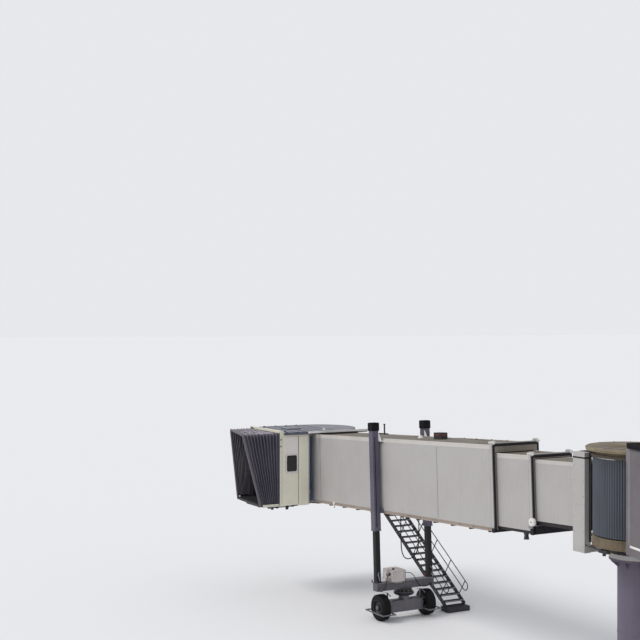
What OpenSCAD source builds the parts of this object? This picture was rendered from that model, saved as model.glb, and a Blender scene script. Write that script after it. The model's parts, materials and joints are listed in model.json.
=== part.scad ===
// Apron passenger bridge: a fixed rotunda on a column, three telescoping tunnels,
// lift columns on a two-wheel bogie, a turning cab with a folding canopy and a service stair.
// Millimetres, Z up. The origin is on the ground at the middle of the rotunda column's base,
// and X runs along the tunnels towards the cab.

/* [Rotunda column] */
// Outside diameter of the column tube
column_d = 1100; // [900:10:1160]
// Diameter of the base plate on the foundation
base_d = 1700; // [1600:10:2000]
// Thickness of the base plate
base_t = 60; // [40:5:100]
// Diameter of the anchor bolt circle
bolt_pcd = 1450; // [1380:10:1500]
// Radius of each anchor bolt hole
bolt_hole_r = 24; // [16:1:30]
// Number of anchor bolts
bolt_count = 12; // [8:1:16]
// Diameter of the head flange under the slewing hub
head_d = 1640; // [1400:10:1700]
// Height of the head flange's upper face above the ground
head_z = 4930; // [4700:10:4960]
// Diameter of the boss that the slewing hub turns on
boss_d = 1160; // [1000:10:1200]

/* [Rotunda] */
// Radius of the rotunda floor and of its curtains
rotunda_r = 1350; // [1300:10:1370]
// Height of the rotunda floor above the ground
floor_z = 5620; // [5550:10:5800]
// Depth of the floor ring
floor_ring_h = 320; // [250:10:340]
// Height of the curtains between the floor ring and the head ring
curtain_h = 2570; // [2500:10:2650]
// Thickness of the slatted curtains
curtain_t = 24; // [16:1:30]
// Width of one slat of the curtains
slat_w = 90; // [60:5:150]
// Radius of the rotunda roof plate
roof_r = 1560; // [1500:10:1600]
// Height of the roof above the head ring
roof_rise = 240; // [200:10:300]

/* [Fixed corridor] */
// Angle of the corridor's axis, measured from X
corridor_angle = 165; // [150:1:180]
// Width over the corridor's walls
corridor_w = 2100; // [2000:10:2200]
// Length of the corridor from the rotunda's rim
corridor_l = 3000; // [2000:50:6000]
// Thickness of the corridor's walls, floor and roof
corridor_t = 90; // [60:5:120]
// Height of the corridor's walls
corridor_h = 3330; // [3250:10:3500]
// Height of the dark roof cap
corridor_cap_h = 150; // [100:10:200]

/* [Portal] */
// Distance of the portal's rotunda side from the column's axis
portal_x = 1200; // [1180:5:1240]
// Length of a portal post along the tunnel
portal_l = 570; // [500:5:600]
// Width of a portal post
portal_post_w = 270; // [240:5:300]
// Height of the portal above its lower beam
portal_h = 3150; // [3100:10:3300]

/* [Tunnels] */
// Downward slope of the tunnels towards the cab, in degrees
slope = 2.9; // [1:0.1:4]
// Half the outside width of tunnel A, the one at the rotunda
a_half_w = 760; // [720:5:765]
// Half the outside width of tunnel B
b_half_w = 900; // [895:5:910]
// Half the outside width of tunnel C, the one that carries the cab
c_half_w = 1050; // [1045:5:1060]
// Thickness of the tunnel walls
wall_t = 50; // [40:1:55]
// Length of tunnel A
a_len = 13400; // [12000:50:13500]
// Length of tunnel B behind its end frame
b_len = 12880; // [11000:50:13000]
// Length of tunnel C in front of its end frame
c_len = 13740; // [13500:20:15000]
// Distance from the tunnel hinge to the end frame of tunnel B
b_start = 2500; // [2000:10:3500]
// Distance from the end frame of tunnel B to that of tunnel C
c_start = 2020; // [1800:10:3000]
// Length of an end frame along the tunnel
frame_l = 120; // [80:5:160]

/* [Lift columns] */
// Distance from the tunnel hinge to the lift columns
lift_x = 12420; // [11500:10:13000]
// Distance between the middles of the two lift columns
lift_gauge = 2620; // [2560:10:2800]
// Side of the square column sleeve
sleeve_w = 300; // [280:5:320]
// Wall of the column sleeve
sleeve_t = 20; // [12:1:24]
// Side of the square ram in the sleeve
ram_w = 220; // [180:5:230]
// Height of the crossbeam's middle above the ground
beam_z = 1430; // [1400:5:1560]
// Depth of the crossbeam
beam_h = 340; // [280:5:360]
// Width of the crossbeam
beam_w = 360; // [320:5:400]

/* [Bogie] */
// Outside diameter of a tyre
wheel_d = 1100; // [1000:10:1160]
// Width of a tyre
wheel_w = 420; // [350:10:450]
// Distance between the middles of the two wheels
track = 2270; // [2240:10:2400]
// Height of the axle box
axle_box_h = 480; // [400:10:520]
// Length of the axle box between the wheels
axle_box_l = 1640; // [1400:10:1700]
// Height of the axle box's underside above the ground
axle_box_z = 310; // [260:5:330]

/* [Cab] */
// Heading of the cab, measured from X
cab_heading = 90; // [60:1:92]
// Distance from the end of tunnel C to the cab's turning axis
cab_offset = 1340; // [1320:10:1500]
// Half the outside width of the cab
cab_half_w = 1550; // [1500:10:1600]
// Distance from the turning axis to the back edge of the cab's side walls
cab_back = 1350; // [1300:10:1450]
// Distance from the turning axis to the cab's front
cab_front = 2920; // [2850:10:3100]
// Radius of the round floor that the cab turns about
deck_r = 1640; // [1620:10:1660]
// Distance from the turning axis to the middle of the line of the canopy's lower pivots
canopy_reach = 3750; // [3650:10:4000]
// Angle of the cab's front edge, which reaches further forward on its left side
front_skew = 5.2; // [0:0.1:7]
// Forward lean of the canopy hoop's left leg, in degrees
left_lean = 15.4; // [8:0.1:17]
// Forward lean of the canopy hoop's right leg, in degrees
right_lean = 6.4; // [5:0.1:17]
// Number of pleats in the canopy
pleats = 12; // [8:1:16]
// Height of the front frame above the cab's side walls
frame_rise = 200; // [160:10:260]
// Radius of the corners of the cab's windows
window_r = 80; // [40:5:120]

/* [Service stair] */
// Angle of the flight, in degrees
stair_angle = 34.4; // [33:0.1:38]
// Width of the flight over its stringers
stair_w = 1050; // [900:10:1150]
// Distance from the tunnels' middle line to the flight's near side
stair_y = 2100; // [2050:10:2300]
// Number of treads
tread_count = 19; // [16:1:21]

/* [Hidden] */
$fn = 96;

// Gap between a moving piece and its seat
run_gap = 0.4;

// Routes of the free cables. The loop hangs under tunnel C, and the others join the control box
// to the boxes at the crossbeam's ends.
loop_d = 45;
loop_gland_d = 72;
loop_gland_h = 90;
loop_route = [[13200, 490, 4480], [13200, 490, 4360], [13200, 490, 4200], [13200, 489, 3980],
    [13200, 487, 3740], [13200, 483, 3500], [13200, 475, 3270], [13200, 456, 3060], [13200, 415, 2870],
    [13200, 340, 2720], [13200, 230, 2630], [13200, 110, 2600], [13200, -10, 2610], [13200, -130, 2660],
    [13200, -240, 2750], [13200, -325, 2880], [13200, -380, 3050], [13200, -405, 3260], [13200, -415, 3500],
    [13200, -420, 3760], [13200, -420, 4010], [13200, -420, 4250], [13200, -420, 4480]];
cable_d = 30;
near_route = [[13500, 800, 1930], [13500, 860, 1930], [13498, 915, 1915], [13495, 960, 1875],
    [13492, 990, 1815], [13490, 1010, 1740], [13488, 1022, 1660], [13487, 1032, 1580], [13486, 1045, 1500],
    [13485, 1068, 1425], [13485, 1108, 1370], [13485, 1160, 1340], [13485, 1205, 1331], [13485, 1250, 1330]];
far_route = [[13500, 160, 1950], [13500, 110, 1950], [13497, 50, 1953], [13493, -20, 1955],
    [13488, -90, 1948], [13484, -160, 1930], [13481, -230, 1895], [13478, -300, 1840], [13476, -360, 1770],
    [13475, -415, 1690], [13475, -465, 1605], [13475, -515, 1520], [13475, -570, 1440], [13475, -635, 1370],
    [13475, -710, 1320], [13475, -800, 1290], [13475, -900, 1278], [13475, -1000, 1280], [13478, -1090, 1298],
    [13482, -1175, 1325], [13485, -1215, 1329], [13485, -1250, 1330]];

// Point between b and c on the smooth curve through a, b, c and d
function between(a, b, c, d, t) =
    0.5 * (2 * b + (c - a) * t + (2 * a - 5 * b + 4 * c - d) * t * t + (3 * b - a - 3 * c + d) * t * t * t);
// Curve through all points of a route, with a point added in the middle of each step
function smooth(p) = let (n = len(p) - 1) concat(
    [for (i = [0:n - 1]) each [p[i], between(p[max(i - 1, 0)], p[i], p[i + 1], p[min(i + 2, n)], 0.5)]],
    [p[n]]);
function unit(v) = v / norm(v);
// One ring of a tube's corners, square to the curve at point i
function tube_ring(p, i, r, sides) =
    let (n = len(p) - 1,
        along = i == 0 ? round_axis(p[1] - p[0]) : i == n ? round_axis(p[n] - p[n - 1]) : unit(p[i + 1] - p[i - 1]),
        side = unit(cross(along, [1, 0, 0])), up = cross(side, along))
    [for (k = [0:sides - 1]) p[i] + r * (cos(k * 360 / sides) * side + sin(k * 360 / sides) * up)];
// The axis nearest to a direction, so that a cable's ends are square to what they meet
function round_axis(v) = let (u = unit(v)) [for (c = u) abs(c) > 0.7 ? sign(c) : 0];
module tube(route, d) {
    sides = 8;
    p = smooth(route);
    rings = len(p);
    skin = [for (i = [0:rings - 2]) for (k = [0:sides - 1]) let (m = (k + 1) % sides) each [
        [i * sides + k, i * sides + m, (i + 1) * sides + m],
        [i * sides + k, (i + 1) * sides + m, (i + 1) * sides + k]]];
    ends = [[for (k = [sides - 1:-1:0]) k], [for (k = [0:sides - 1]) (rings - 1) * sides + k]];
    polyhedron([for (i = [0:rings - 1]) each tube_ring(p, i, d / 2, sides)], concat(skin, ends));
}

// Tunnel frame: origin on the tunnel hinge, x along the tunnels, z square to their floors
hinge_drop = 150;
hinge_x = portal_x + portal_l / 2 + 15;
hinge_z = floor_z - hinge_drop;
function world_x(tx, tz) = hinge_x + tx * cos(slope) + tz * sin(slope);
function world_z(tx, tz) = hinge_z - tx * sin(slope) + tz * cos(slope);
module in_tunnel() {
    translate([hinge_x, 0, hinge_z])
        rotate([0, slope, 0])
            children();
}

// Levels in the tunnel frame: underframe bottom, floor top, wall bottom, wall top, roof top
a_levels = [100, 150, 230, 2260, 2370];
b_levels = [-220, 20, 85, 2370, 2520];
c_levels = [-330, -290, -100, 2680, 2820];
floor_t = 40;
roof_t = 60;
trim = 15;
a_x = [80, 80 + a_len];
b_x = [b_start + frame_l, b_start + frame_l + b_len];
c_x = [b_start + c_start + frame_l, b_start + c_start + frame_l + c_len];

// Floor of one tunnel: edge beams at the sides and a plate between them
module tunnel_floor(x, half_w, z, beam_w) {
    translate([x[0], 0, 0])
        rotate([90, 0, 90])
            linear_extrude(x[1] - x[0])
                polygon([[-half_w, z[0]], [-half_w + beam_w, z[0]], [-half_w + beam_w, z[1] - floor_t],
                    [half_w - beam_w, z[1] - floor_t], [half_w - beam_w, z[0]], [half_w, z[0]],
                    [half_w, z[2]], [half_w - wall_t, z[2]], [half_w - wall_t, z[1]],
                    [-half_w + wall_t, z[1]], [-half_w + wall_t, z[2]], [-half_w, z[2]]]);
}

// One side wall of a tunnel; side is 1 for +Y and -1 for -Y
module tunnel_wall(x, half_w, z, side) {
    translate([x[0], side > 0 ? half_w - wall_t : -half_w, z[2]])
        cube([x[1] - x[0], wall_t, z[3] - z[2]]);
}

// Roof of one tunnel: a plate with a fascia down each side
module tunnel_roof(x, half_w, z) {
    translate([x[0], 0, 0])
        rotate([90, 0, 90])
            linear_extrude(x[1] - x[0])
                polygon([[-half_w, z[3]], [-half_w + wall_t, z[3]], [-half_w + wall_t, z[4] - roof_t],
                    [half_w - wall_t, z[4] - roof_t], [half_w - wall_t, z[3]], [half_w, z[3]],
                    [half_w, z[4] - trim], [half_w - trim, z[4]],
                    [-half_w + trim, z[4]], [-half_w, z[4] - trim]]);
}

// Cross rollers on a tunnel's floor end that run on the next tunnel's floor
module floor_rollers(x, half_w, bottom, ground) {
    r = (bottom - ground - run_gap) / 2 + 10;
    for (side = [-1, 1])
        translate([x, side * (half_w - 60), ground + run_gap + r])
            rotate([90, 0, 0])
                cylinder(r = r, h = 80, center = true);
}

// End frame of a tunnel, round the smaller tunnel that slides in it
module end_frame(x, inner_half, inner_z, outer_half, outer_z, roller_y) {
    clear = 35;
    translate([x, 0, 0])
        rotate([90, 0, 90])
            linear_extrude(frame_l)
                difference() {
                    polygon([[-outer_half, outer_z[0]], [outer_half, outer_z[0]],
                        [outer_half, outer_z[1]], [-outer_half, outer_z[1]]]);
                    polygon([[-inner_half - clear, inner_z[0] - clear], [inner_half + clear, inner_z[0] - clear],
                        [inner_half + clear, inner_z[1] + clear], [-inner_half - clear, inner_z[1] + clear]]);
                }
    for (side = [-1, 1])
        translate([x + frame_l / 2, side * roller_y, outer_z[1]])
            rotate([90, 0, 0])
                cylinder(r = 85, h = 150, center = true);
}

module rotunda_column() {
    gusset_h = 260;
    color("#6e6476") {
        difference() {
            cylinder(d = base_d, h = base_t);
            for (i = [0:bolt_count - 1])
                rotate([0, 0, (i + 0.5) * 360 / bolt_count])
                    translate([bolt_pcd / 2, 0, -1])
                        cylinder(r = bolt_hole_r, h = base_t + 2);
        }
        translate([0, 0, base_t])
            cylinder(d = column_d, h = head_z - base_t - 80);
        translate([0, 0, head_z - 80])
            cylinder(d = head_d, h = 80);
        translate([0, 0, head_z])
            cylinder(d = boss_d, h = floor_z - floor_ring_h - head_z);
        for (i = [0:bolt_count - 1])
            rotate([0, 0, i * 360 / bolt_count])
                translate([column_d / 2 - 10, 0, base_t])
                    rotate([90, 0, 0])
                        linear_extrude(20, center = true)
                            polygon([[0, 0], [base_d / 2 - column_d / 2, 0], [0, gusset_h]]);
    }
}

module rotunda_floor() {
    color("#b9ad8c")
        translate([0, 0, floor_z - floor_ring_h])
            cylinder(r = rotunda_r, h = floor_ring_h);
}

module rotunda_roof() {
    head_h = 100;
    z0 = floor_z + curtain_h;
    color("#8f8778") {
        difference() {
            translate([0, 0, z0])
                cylinder(r = rotunda_r, h = head_h);
            translate([0, 0, z0 - 1])
                cylinder(r = rotunda_r - 120, h = head_h - 39);
        }
        translate([0, 0, z0 + head_h])
            cylinder(r = rotunda_r - 90, h = roof_rise - 120);
        translate([0, 0, z0 + head_h + roof_rise - 120])
            cylinder(r1 = roof_r, r2 = roof_r - 40, h = 120);
    }
}

// Corridor frame: x along the corridor away from the rotunda, from its axis
corridor_z = floor_z - floor_ring_h;
corridor_x = rotunda_r + 5;
end_frame_l = 260;
module in_corridor() {
    rotate([0, 0, corridor_angle])
        children();
}

module corridor_floor() {
    color("#6f6b72")
        in_corridor()
            translate([corridor_x, -corridor_w / 2, corridor_z])
                cube([corridor_l, corridor_w, floor_ring_h - 1]);
}

module corridor_walls() {
    wall_x = corridor_x + end_frame_l;
    color("#6b676c")
        in_corridor()
            for (side = [-1, 1])
                translate([wall_x, side > 0 ? corridor_w / 2 - corridor_t : -corridor_w / 2, floor_z - 1])
                    cube([corridor_l - end_frame_l, corridor_t, corridor_z + corridor_h - floor_z]);
}

module corridor_roof() {
    lip = 60;
    color("#3b3638")
        in_corridor()
            translate([corridor_x + end_frame_l - 100, -corridor_w / 2 - lip, corridor_z + corridor_h - 1])
                cube([corridor_l - end_frame_l + 100, corridor_w + 2 * lip, corridor_cap_h]);
}

module corridor_end_frame() {
    post_w = 220;
    head_z0 = floor_z + curtain_h;
    color("#8b8590")
        in_corridor()
            difference() {
                translate([corridor_x, -corridor_w / 2, floor_z - 1])
                    cube([end_frame_l, corridor_w, corridor_z + corridor_h - floor_z]);
                translate([corridor_x - 1, -corridor_w / 2 + post_w, floor_z - 2])
                    cube([end_frame_l + 2, corridor_w - 2 * post_w, head_z0 - floor_z]);
                rotate([0, 0, -corridor_angle])
                    translate([0, 0, head_z0 - 1])
                        cylinder(r = roof_r, h = 1000);
            }
}

portal_out = c_half_w + 10;
portal_z = head_z + run_gap;
hinge_pin_r = 60;
module portal_frame() {
    hub_h = 150;
    hub_half_w = 500;
    top_beam_h = 170;
    head_gap = 8;
    pin_bore_r = hinge_pin_r + run_gap;
    color("#b8b2ad") {
        difference() {
            for (side = [-1, 1])
                translate([portal_x, side > 0 ? portal_out - portal_post_w : -portal_out, portal_z])
                    cube([portal_l, portal_post_w, portal_h]);
            translate([hinge_x, 0, hinge_z])
                rotate([90, 0, 0])
                    cylinder(r = pin_bore_r, h = 2 * (a_half_w + 150), center = true);
        }
        difference() {
            translate([portal_x, -portal_out, portal_z + portal_h])
                cube([portal_l, 2 * portal_out, top_beam_h]);
            translate([0, 0, floor_z + curtain_h - head_gap])
                cylinder(r = rotunda_r + head_gap, h = top_beam_h);
        }
        translate([0, 0, portal_z])
            difference() {
                union() {
                    translate([portal_x + 60, -portal_out + portal_post_w, 0])
                        cube([portal_l - 120, 2 * (portal_out - portal_post_w), hub_h]);
                    cylinder(d = head_d, h = hub_h);
                    translate([0, -hub_half_w, 0])
                        cube([portal_x + 100, 2 * hub_half_w, hub_h]);
                }
                translate([0, 0, -1])
                    cylinder(r = boss_d / 2 + run_gap, h = hub_h + 2);
            }
    }
}

// One slatted curtain: an arc of flat slats between two angles, with a groove after each slat
module curtain_arc(r, from, to, h) {
    groove = 9;
    slats = round((to - from) * PI / 180 * r / slat_w);
    step = (to - from) / slats;
    function at(radius, angle) = [radius * cos(angle), radius * sin(angle)];
    outer = [for (i = [0:slats - 1]) let (a = from + i * step) each [at(r, a), at(r, a + 0.7 * step),
        at(r - groove, a + 0.78 * step), at(r - groove, a + 0.92 * step)]];
    inner = [for (i = [slats:-1:0]) at(r - curtain_t, from + i * step)];
    linear_extrude(h)
        polygon(concat(outer, inner));
}

curtain_post_angle = 34;
corridor_corner = atan2(corridor_w / 2 - 150, corridor_x) + 3;
module rotunda_curtains() {
    color("#465060")
        translate([0, 0, floor_z + 0.5]) {
            curtain_arc(rotunda_r - 10, curtain_post_angle, corridor_angle - corridor_corner, curtain_h - 1);
            curtain_arc(rotunda_r - 10, corridor_angle + corridor_corner - 360, -curtain_post_angle, curtain_h - 1);
        }
}

module tunnel_a_floor() {
    lug_l = 200;
    color("#35333a")
        in_tunnel() {
            tunnel_floor(a_x, a_half_w, a_levels, 90);
            floor_rollers(a_x[1] - 200, a_half_w - 60, a_levels[0], b_levels[1]);
            for (side = [-1, 1]) {
                translate([-lug_l / 2, side > 0 ? a_half_w - 60 : -a_half_w, -100])
                    cube([lug_l + 80, 60, 250]);
                translate([0, side * (a_half_w + 50), 0])
                    rotate([90, 0, 0])
                        cylinder(r = hinge_pin_r, h = 140, center = true);
            }
        }
}

module tunnel_a_walls() {
    color("#b4b0ae")
        in_tunnel()
            for (side = [-1, 1])
                tunnel_wall(a_x, a_half_w, a_levels, side);
}

module tunnel_a_roof() {
    color("#8d8678")
        in_tunnel()
            tunnel_roof(a_x, a_half_w, a_levels);
}

module tunnel_b_floor() {
    color("#35333a")
        in_tunnel() {
            tunnel_floor(b_x, b_half_w, b_levels, 90);
            floor_rollers(b_x[1] - 200, b_half_w, b_levels[0], c_levels[1]);
        }
}

module tunnel_b_walls() {
    color("#b4b0ae")
        in_tunnel()
            for (side = [-1, 1])
                tunnel_wall(b_x, b_half_w, b_levels, side);
}

module tunnel_b_roof() {
    color("#8d8678")
        in_tunnel()
            tunnel_roof(b_x, b_half_w, b_levels);
}

module tunnel_b_end_frame() {
    color("#aca8a6")
        in_tunnel()
            end_frame(b_start, a_half_w, [a_levels[0], a_levels[4]], b_half_w + 50,
                [b_levels[0] - 30, b_levels[4] + 60], b_half_w - 60);
}

// Cab turning axis, round floor and head that tunnel C carries
cab_x = world_x(c_x[1], 0) + cab_offset;
deck_z = world_z(c_x[1], c_levels[1]);
deck_t = 70;
head_ring_z = world_z(c_x[1], c_levels[4]) - 75;
head_ring_t = 90;
pivot_r = 100;

module tunnel_c_floor() {
    color("#8e8478")
        union() {
            in_tunnel()
                tunnel_floor(c_x, c_half_w, c_levels, 120);
            difference() {
                translate([cab_x, 0, deck_z - deck_t])
                    cylinder(r = deck_r, h = deck_t);
                translate([cab_x, 0, deck_z - deck_t - 1])
                    cylinder(r = pivot_r + run_gap, h = deck_t + 2);
            }
            for (end = [loop_route[0], loop_route[len(loop_route) - 1]])
                translate(end)
                    cylinder(d = loop_gland_d, h = loop_gland_h);
        }
}

door_w = 900;
door_h = 2000;
door_x = c_x[1] - 1150;
module tunnel_c_near_wall() {
    color("#b2adac")
        in_tunnel()
            tunnel_wall(c_x, c_half_w, c_levels, 1);
}

module tunnel_c_far_wall() {
    color("#b2adac")
        in_tunnel()
            difference() {
                tunnel_wall(c_x, c_half_w, c_levels, -1);
                translate([door_x, -c_half_w - 1, c_levels[2] - 1])
                    cube([door_w, wall_t + 2, door_h + 1]);
            }
}

module service_door() {
    color("#9a979a")
        in_tunnel()
            translate([door_x, -c_half_w + 5, c_levels[2]])
                cube([door_w, wall_t - 10, door_h]);
}

module tunnel_c_roof() {
    color("#8d8374") {
        in_tunnel()
            tunnel_roof(c_x, c_half_w, c_levels);
        difference() {
            translate([cab_x, 0, head_ring_z])
                cylinder(r = deck_r, h = head_ring_t);
            in_tunnel()
                translate([c_x[1] - 3000, -2000, 0])
                    cube([3000, 4000, 4000]);
        }
    }
}

module tunnel_c_end_frame() {
    color("#aca8a6")
        in_tunnel()
            end_frame(b_start + c_start, b_half_w, [b_levels[0], b_levels[4]], c_half_w + 50,
                [c_levels[0] - 30, c_levels[4] + 90], c_half_w - 60);
}

sleeve_bottom = -1060;
sleeve_top = 3160;
module lift_sleeves() {
    cap_w = sleeve_w + 50;
    cap_h = 320;
    bracket_l = 500;
    collar_h = 100;
    color("#5a5866")
        in_tunnel()
            for (side = [-1, 1]) {
                difference() {
                    translate([lift_x, side * lift_gauge / 2, sleeve_bottom])
                        translate([-sleeve_w / 2, -sleeve_w / 2, 0])
                            cube([sleeve_w, sleeve_w, sleeve_top - sleeve_bottom]);
                    translate([lift_x, side * lift_gauge / 2, sleeve_bottom + collar_h])
                        translate([-sleeve_w / 2 + sleeve_t, -sleeve_w / 2 + sleeve_t, 0])
                            cube([sleeve_w - 2 * sleeve_t, sleeve_w - 2 * sleeve_t,
                                sleeve_top - sleeve_bottom]);
                    translate([lift_x, side * lift_gauge / 2, sleeve_bottom - 1])
                        translate([-ram_w / 2 - run_gap, -ram_w / 2 - run_gap, 0])
                            cube([ram_w + 2 * run_gap, ram_w + 2 * run_gap, collar_h + 2]);
                }
                translate([lift_x - cap_w / 2, side * lift_gauge / 2 - cap_w / 2, sleeve_top])
                    cube([cap_w, cap_w, cap_h]);
                for (z = [c_levels[0] + 20, c_levels[3] - 60])
                    translate([lift_x - bracket_l / 2,
                        side > 0 ? c_half_w : -lift_gauge / 2 + sleeve_w / 2, z])
                        cube([bracket_l, lift_gauge / 2 - sleeve_w / 2 - c_half_w, 180]);
            }
}

// Place of the crossbeam's middle in the tunnel frame, and of the bogie's turning axis
beam_tz = (beam_z - hinge_z + lift_x * sin(slope)) / cos(slope);
bogie_x = world_x(lift_x, beam_tz);

module lift_rams() {
    ram_top = 1100;
    color("#2b2a30")
        in_tunnel()
            for (side = [-1, 1])
                translate([lift_x - ram_w / 2, side * lift_gauge / 2 - ram_w / 2, beam_tz + beam_h / 2])
                    cube([ram_w, ram_w, ram_top - beam_tz - beam_h / 2]);
}

kingpin_r = 120;
housing_bottom = beam_z - beam_h / 2 - 130;
module crossbeam() {
    beam_end = 120;
    box = [130, 90, 120];
    color("#57555f") {
        difference() {
            union() {
                in_tunnel()
                    translate([lift_x - beam_w / 2, -lift_gauge / 2 - beam_end, beam_tz - beam_h / 2])
                        cube([beam_w, lift_gauge + 2 * beam_end, beam_h]);
                translate([bogie_x, 0, housing_bottom])
                    cylinder(r = 330, h = 160);
            }
            translate([bogie_x, 0, housing_bottom - 1])
                cylinder(r = kingpin_r + run_gap, h = 260);
        }
        for (route = [near_route, far_route]) {
            end = route[len(route) - 1];
            translate([end[0] - box[0] / 2, end[1] > 0 ? end[1] : end[1] - box[1], end[2] - box[2] / 2])
                cube([box[0] + bogie_x - beam_w / 2 - end[0], box[1], box[2]]);
        }
    }
}

module control_box() {
    box_y = [160, 800];
    box_l = 740;
    box_z = [1640, 2100];
    foot_w = 60;
    foot_h = 60;
    foot_inset = 40;
    lamp_d = 60;
    lamp_h = 50;
    color("#b9b4b0") {
        translate([bogie_x - box_l / 2, box_y[0], box_z[0]])
            cube([box_l, box_y[1] - box_y[0], box_z[1] - box_z[0]]);
        translate([bogie_x, (box_y[0] + box_y[1]) / 2, box_z[1]])
            cylinder(d = lamp_d, h = lamp_h);
    }
    color("#57555f")
        in_tunnel()
            for (y = [box_y[0] + foot_inset, box_y[1] - foot_inset - foot_w])
                translate([lift_x - beam_w / 2 + foot_inset, y, beam_tz + beam_h / 2])
                    cube([beam_w - 2 * foot_inset, foot_w, foot_h]);
}

module cable_loop() {
    color("#1c1b1e")
        tube(loop_route, loop_d);
}
module near_cable() {
    color("#1c1b1e")
        tube(near_route, cable_d);
}
module far_cable() {
    color("#1c1b1e")
        tube(far_route, cable_d);
}

axle_z = wheel_d / 2;
axle_r = 90;
box_half = axle_box_l / 2;
module bogie_frame() {
    box_w = 440;
    box_top = axle_box_z + axle_box_h;
    color("#6b6972") {
        translate([bogie_x - box_w / 2, -box_half, axle_box_z])
            cube([box_w, axle_box_l, axle_box_h]);
        translate([bogie_x, 0, box_top])
            cylinder(r1 = 240, r2 = 200, h = housing_bottom - 90 - box_top);
        translate([bogie_x, 0, housing_bottom - 90])
            cylinder(r = 420, h = 90 - run_gap);
        translate([bogie_x, 0, housing_bottom - 50])
            cylinder(r = kingpin_r, h = 250);
        translate([bogie_x, 0, axle_z])
            rotate([90, 0, 0])
                cylinder(r = axle_r, h = track + wheel_w, center = true);
    }
}

module wheel_guards() {
    rail_r = 30;
    rail_z = 350;
    reach_x = axle_z + 130;
    reach_y = track / 2 + wheel_w / 2 + 120;
    inner_y = box_half + rail_r;
    color("#8d8b90")
        for (side = [-1, 1])
            translate([bogie_x, 0, rail_z]) {
                for (fore = [-1, 1])
                    translate([fore * reach_x, side * inner_y, 0])
                        rotate([-side * 90, 0, 0])
                            cylinder(r = rail_r, h = reach_y - inner_y, $fn = 24);
                translate([0, side * reach_y, 0])
                    rotate([0, 90, 0])
                        cylinder(r = rail_r, h = 2 * reach_x + 2 * rail_r, center = true, $fn = 24);
                translate([0, side * inner_y, 0])
                    rotate([0, 90, 0])
                        cylinder(r = rail_r, h = 2 * reach_x + 2 * rail_r, center = true, $fn = 24);
                translate([-100, side > 0 ? box_half : -inner_y, -rail_r])
                    cube([200, inner_y - box_half, 2 * rail_r]);
            }
}

module wheel(side) {
    hub_r = 290;
    rim_depth = 70;
    shoulder = 110;
    shoulder_steps = 5;
    round_side = [for (i = [0:shoulder_steps]) let (a = i * 90 / shoulder_steps)
        [axle_z - shoulder + shoulder * sin(a), -wheel_w / 2 + shoulder - shoulder * cos(a)]];
    half = concat([[axle_r + run_gap, -wheel_w / 2 + rim_depth], [hub_r, -wheel_w / 2 + rim_depth],
        [hub_r, -wheel_w / 2]], round_side);
    translate([bogie_x, side * track / 2, axle_z])
        rotate([90, 0, 0])
            rotate_extrude()
                polygon(concat(half, [for (i = [len(half) - 1:-1:0]) [half[i][0], -half[i][1]]]));
}
module near_wheel() {
    color("#232226")
        wheel(1);
}
module far_wheel() {
    color("#232226")
        wheel(-1);
}

// Landing beside the end of tunnel C and the stair's upper hinge
landing_t = 60;
landing_x = world_x(door_x, 0) - 60;
stair_top_x = landing_x + 950;
landing_end = stair_top_x + 800;
landing_z = world_z(door_x + door_w, c_levels[2]) - 20;
stair_pin_z = landing_z - landing_t / 2 - 60;
stair_pin_r = 30;
stair_far = stair_y + stair_w;
stair_string_t = 40;
stair_string_h = 170;
stair_string_top = 55;
stair_ear_t = 40;
stair_ear_y = [-stair_y - stair_string_t - 20 - stair_ear_t, -stair_far + stair_string_t + 20];

// Guard rail on the landing, with a post at each point of its path
module guard_rail(path) {
    rail_r = 20;
    post_h = 1000;
    for (p = path)
        translate([p[0], p[1], landing_z - landing_t / 2])
            cylinder(r = rail_r, h = post_h + landing_t / 2, $fn = 24);
    for (i = [1:len(path) - 1])
        for (z = [post_h / 2, post_h - rail_r])
            let (along = path[i] - path[i - 1])
                translate([path[i - 1][0], path[i - 1][1], landing_z + z])
                    rotate([0, 90, atan2(along[1], along[0])])
                        cylinder(r = rail_r, h = norm(along), $fn = 24);
}

module stair_landing() {
    cab_clear = 160;
    beam_h = 120;
    edge_gap = 25;
    hanger_t = 30;
    rail_in = 20;
    beam_back = 130;
    near_y = -stair_y + 10 + rail_in;
    far_y = -stair_far + rail_in;
    color("#4c4a50") {
        difference() {
            union() {
                translate([landing_x, -stair_y + 10, landing_z - landing_t])
                    cube([landing_end - landing_x, stair_y - 10 - c_half_w - edge_gap, landing_t]);
                translate([stair_top_x + 30, -stair_far, landing_z - landing_t])
                    cube([landing_end - stair_top_x - 30, stair_w + 20, landing_t]);
            }
            translate([cab_x, 0, 0])
                cylinder(r = deck_r + cab_clear, h = 2 * deck_z);
        }
        for (x = [landing_x + 100, stair_top_x - 250]) {
            translate([x, -stair_y + 10, landing_z - landing_t - beam_h])
                cube([80, stair_y - 10 - c_half_w, beam_h]);
            translate([x, -c_half_w - hanger_t, landing_z - landing_t - beam_h])
                cube([80, hanger_t, landing_t + beam_h]);
        }
        translate([stair_top_x + beam_back, -stair_far, landing_z - landing_t - beam_h])
            cube([80, stair_w + 20, beam_h]);
        guard_rail([[stair_top_x - rail_in, near_y], [landing_x + 480, near_y],
            [landing_x + rail_in, near_y], [landing_x + rail_in, -c_half_w - 160]]);
        guard_rail([[stair_top_x + 90, far_y], [landing_end - rail_in, far_y],
            [landing_end - rail_in, (far_y - deck_r) / 2], [landing_end - rail_in, -deck_r - 110]]);
        for (y = stair_ear_y)
            difference() {
                translate([stair_top_x - 60, y, stair_pin_z - 60])
                    cube([150, stair_ear_t, landing_z - landing_t - stair_pin_z + 60]);
                translate([stair_top_x, y - 1, stair_pin_z])
                    rotate([-90, 0, 0])
                        cylinder(r = stair_pin_r + run_gap, h = stair_ear_t + 2);
            }
    }
}

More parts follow.
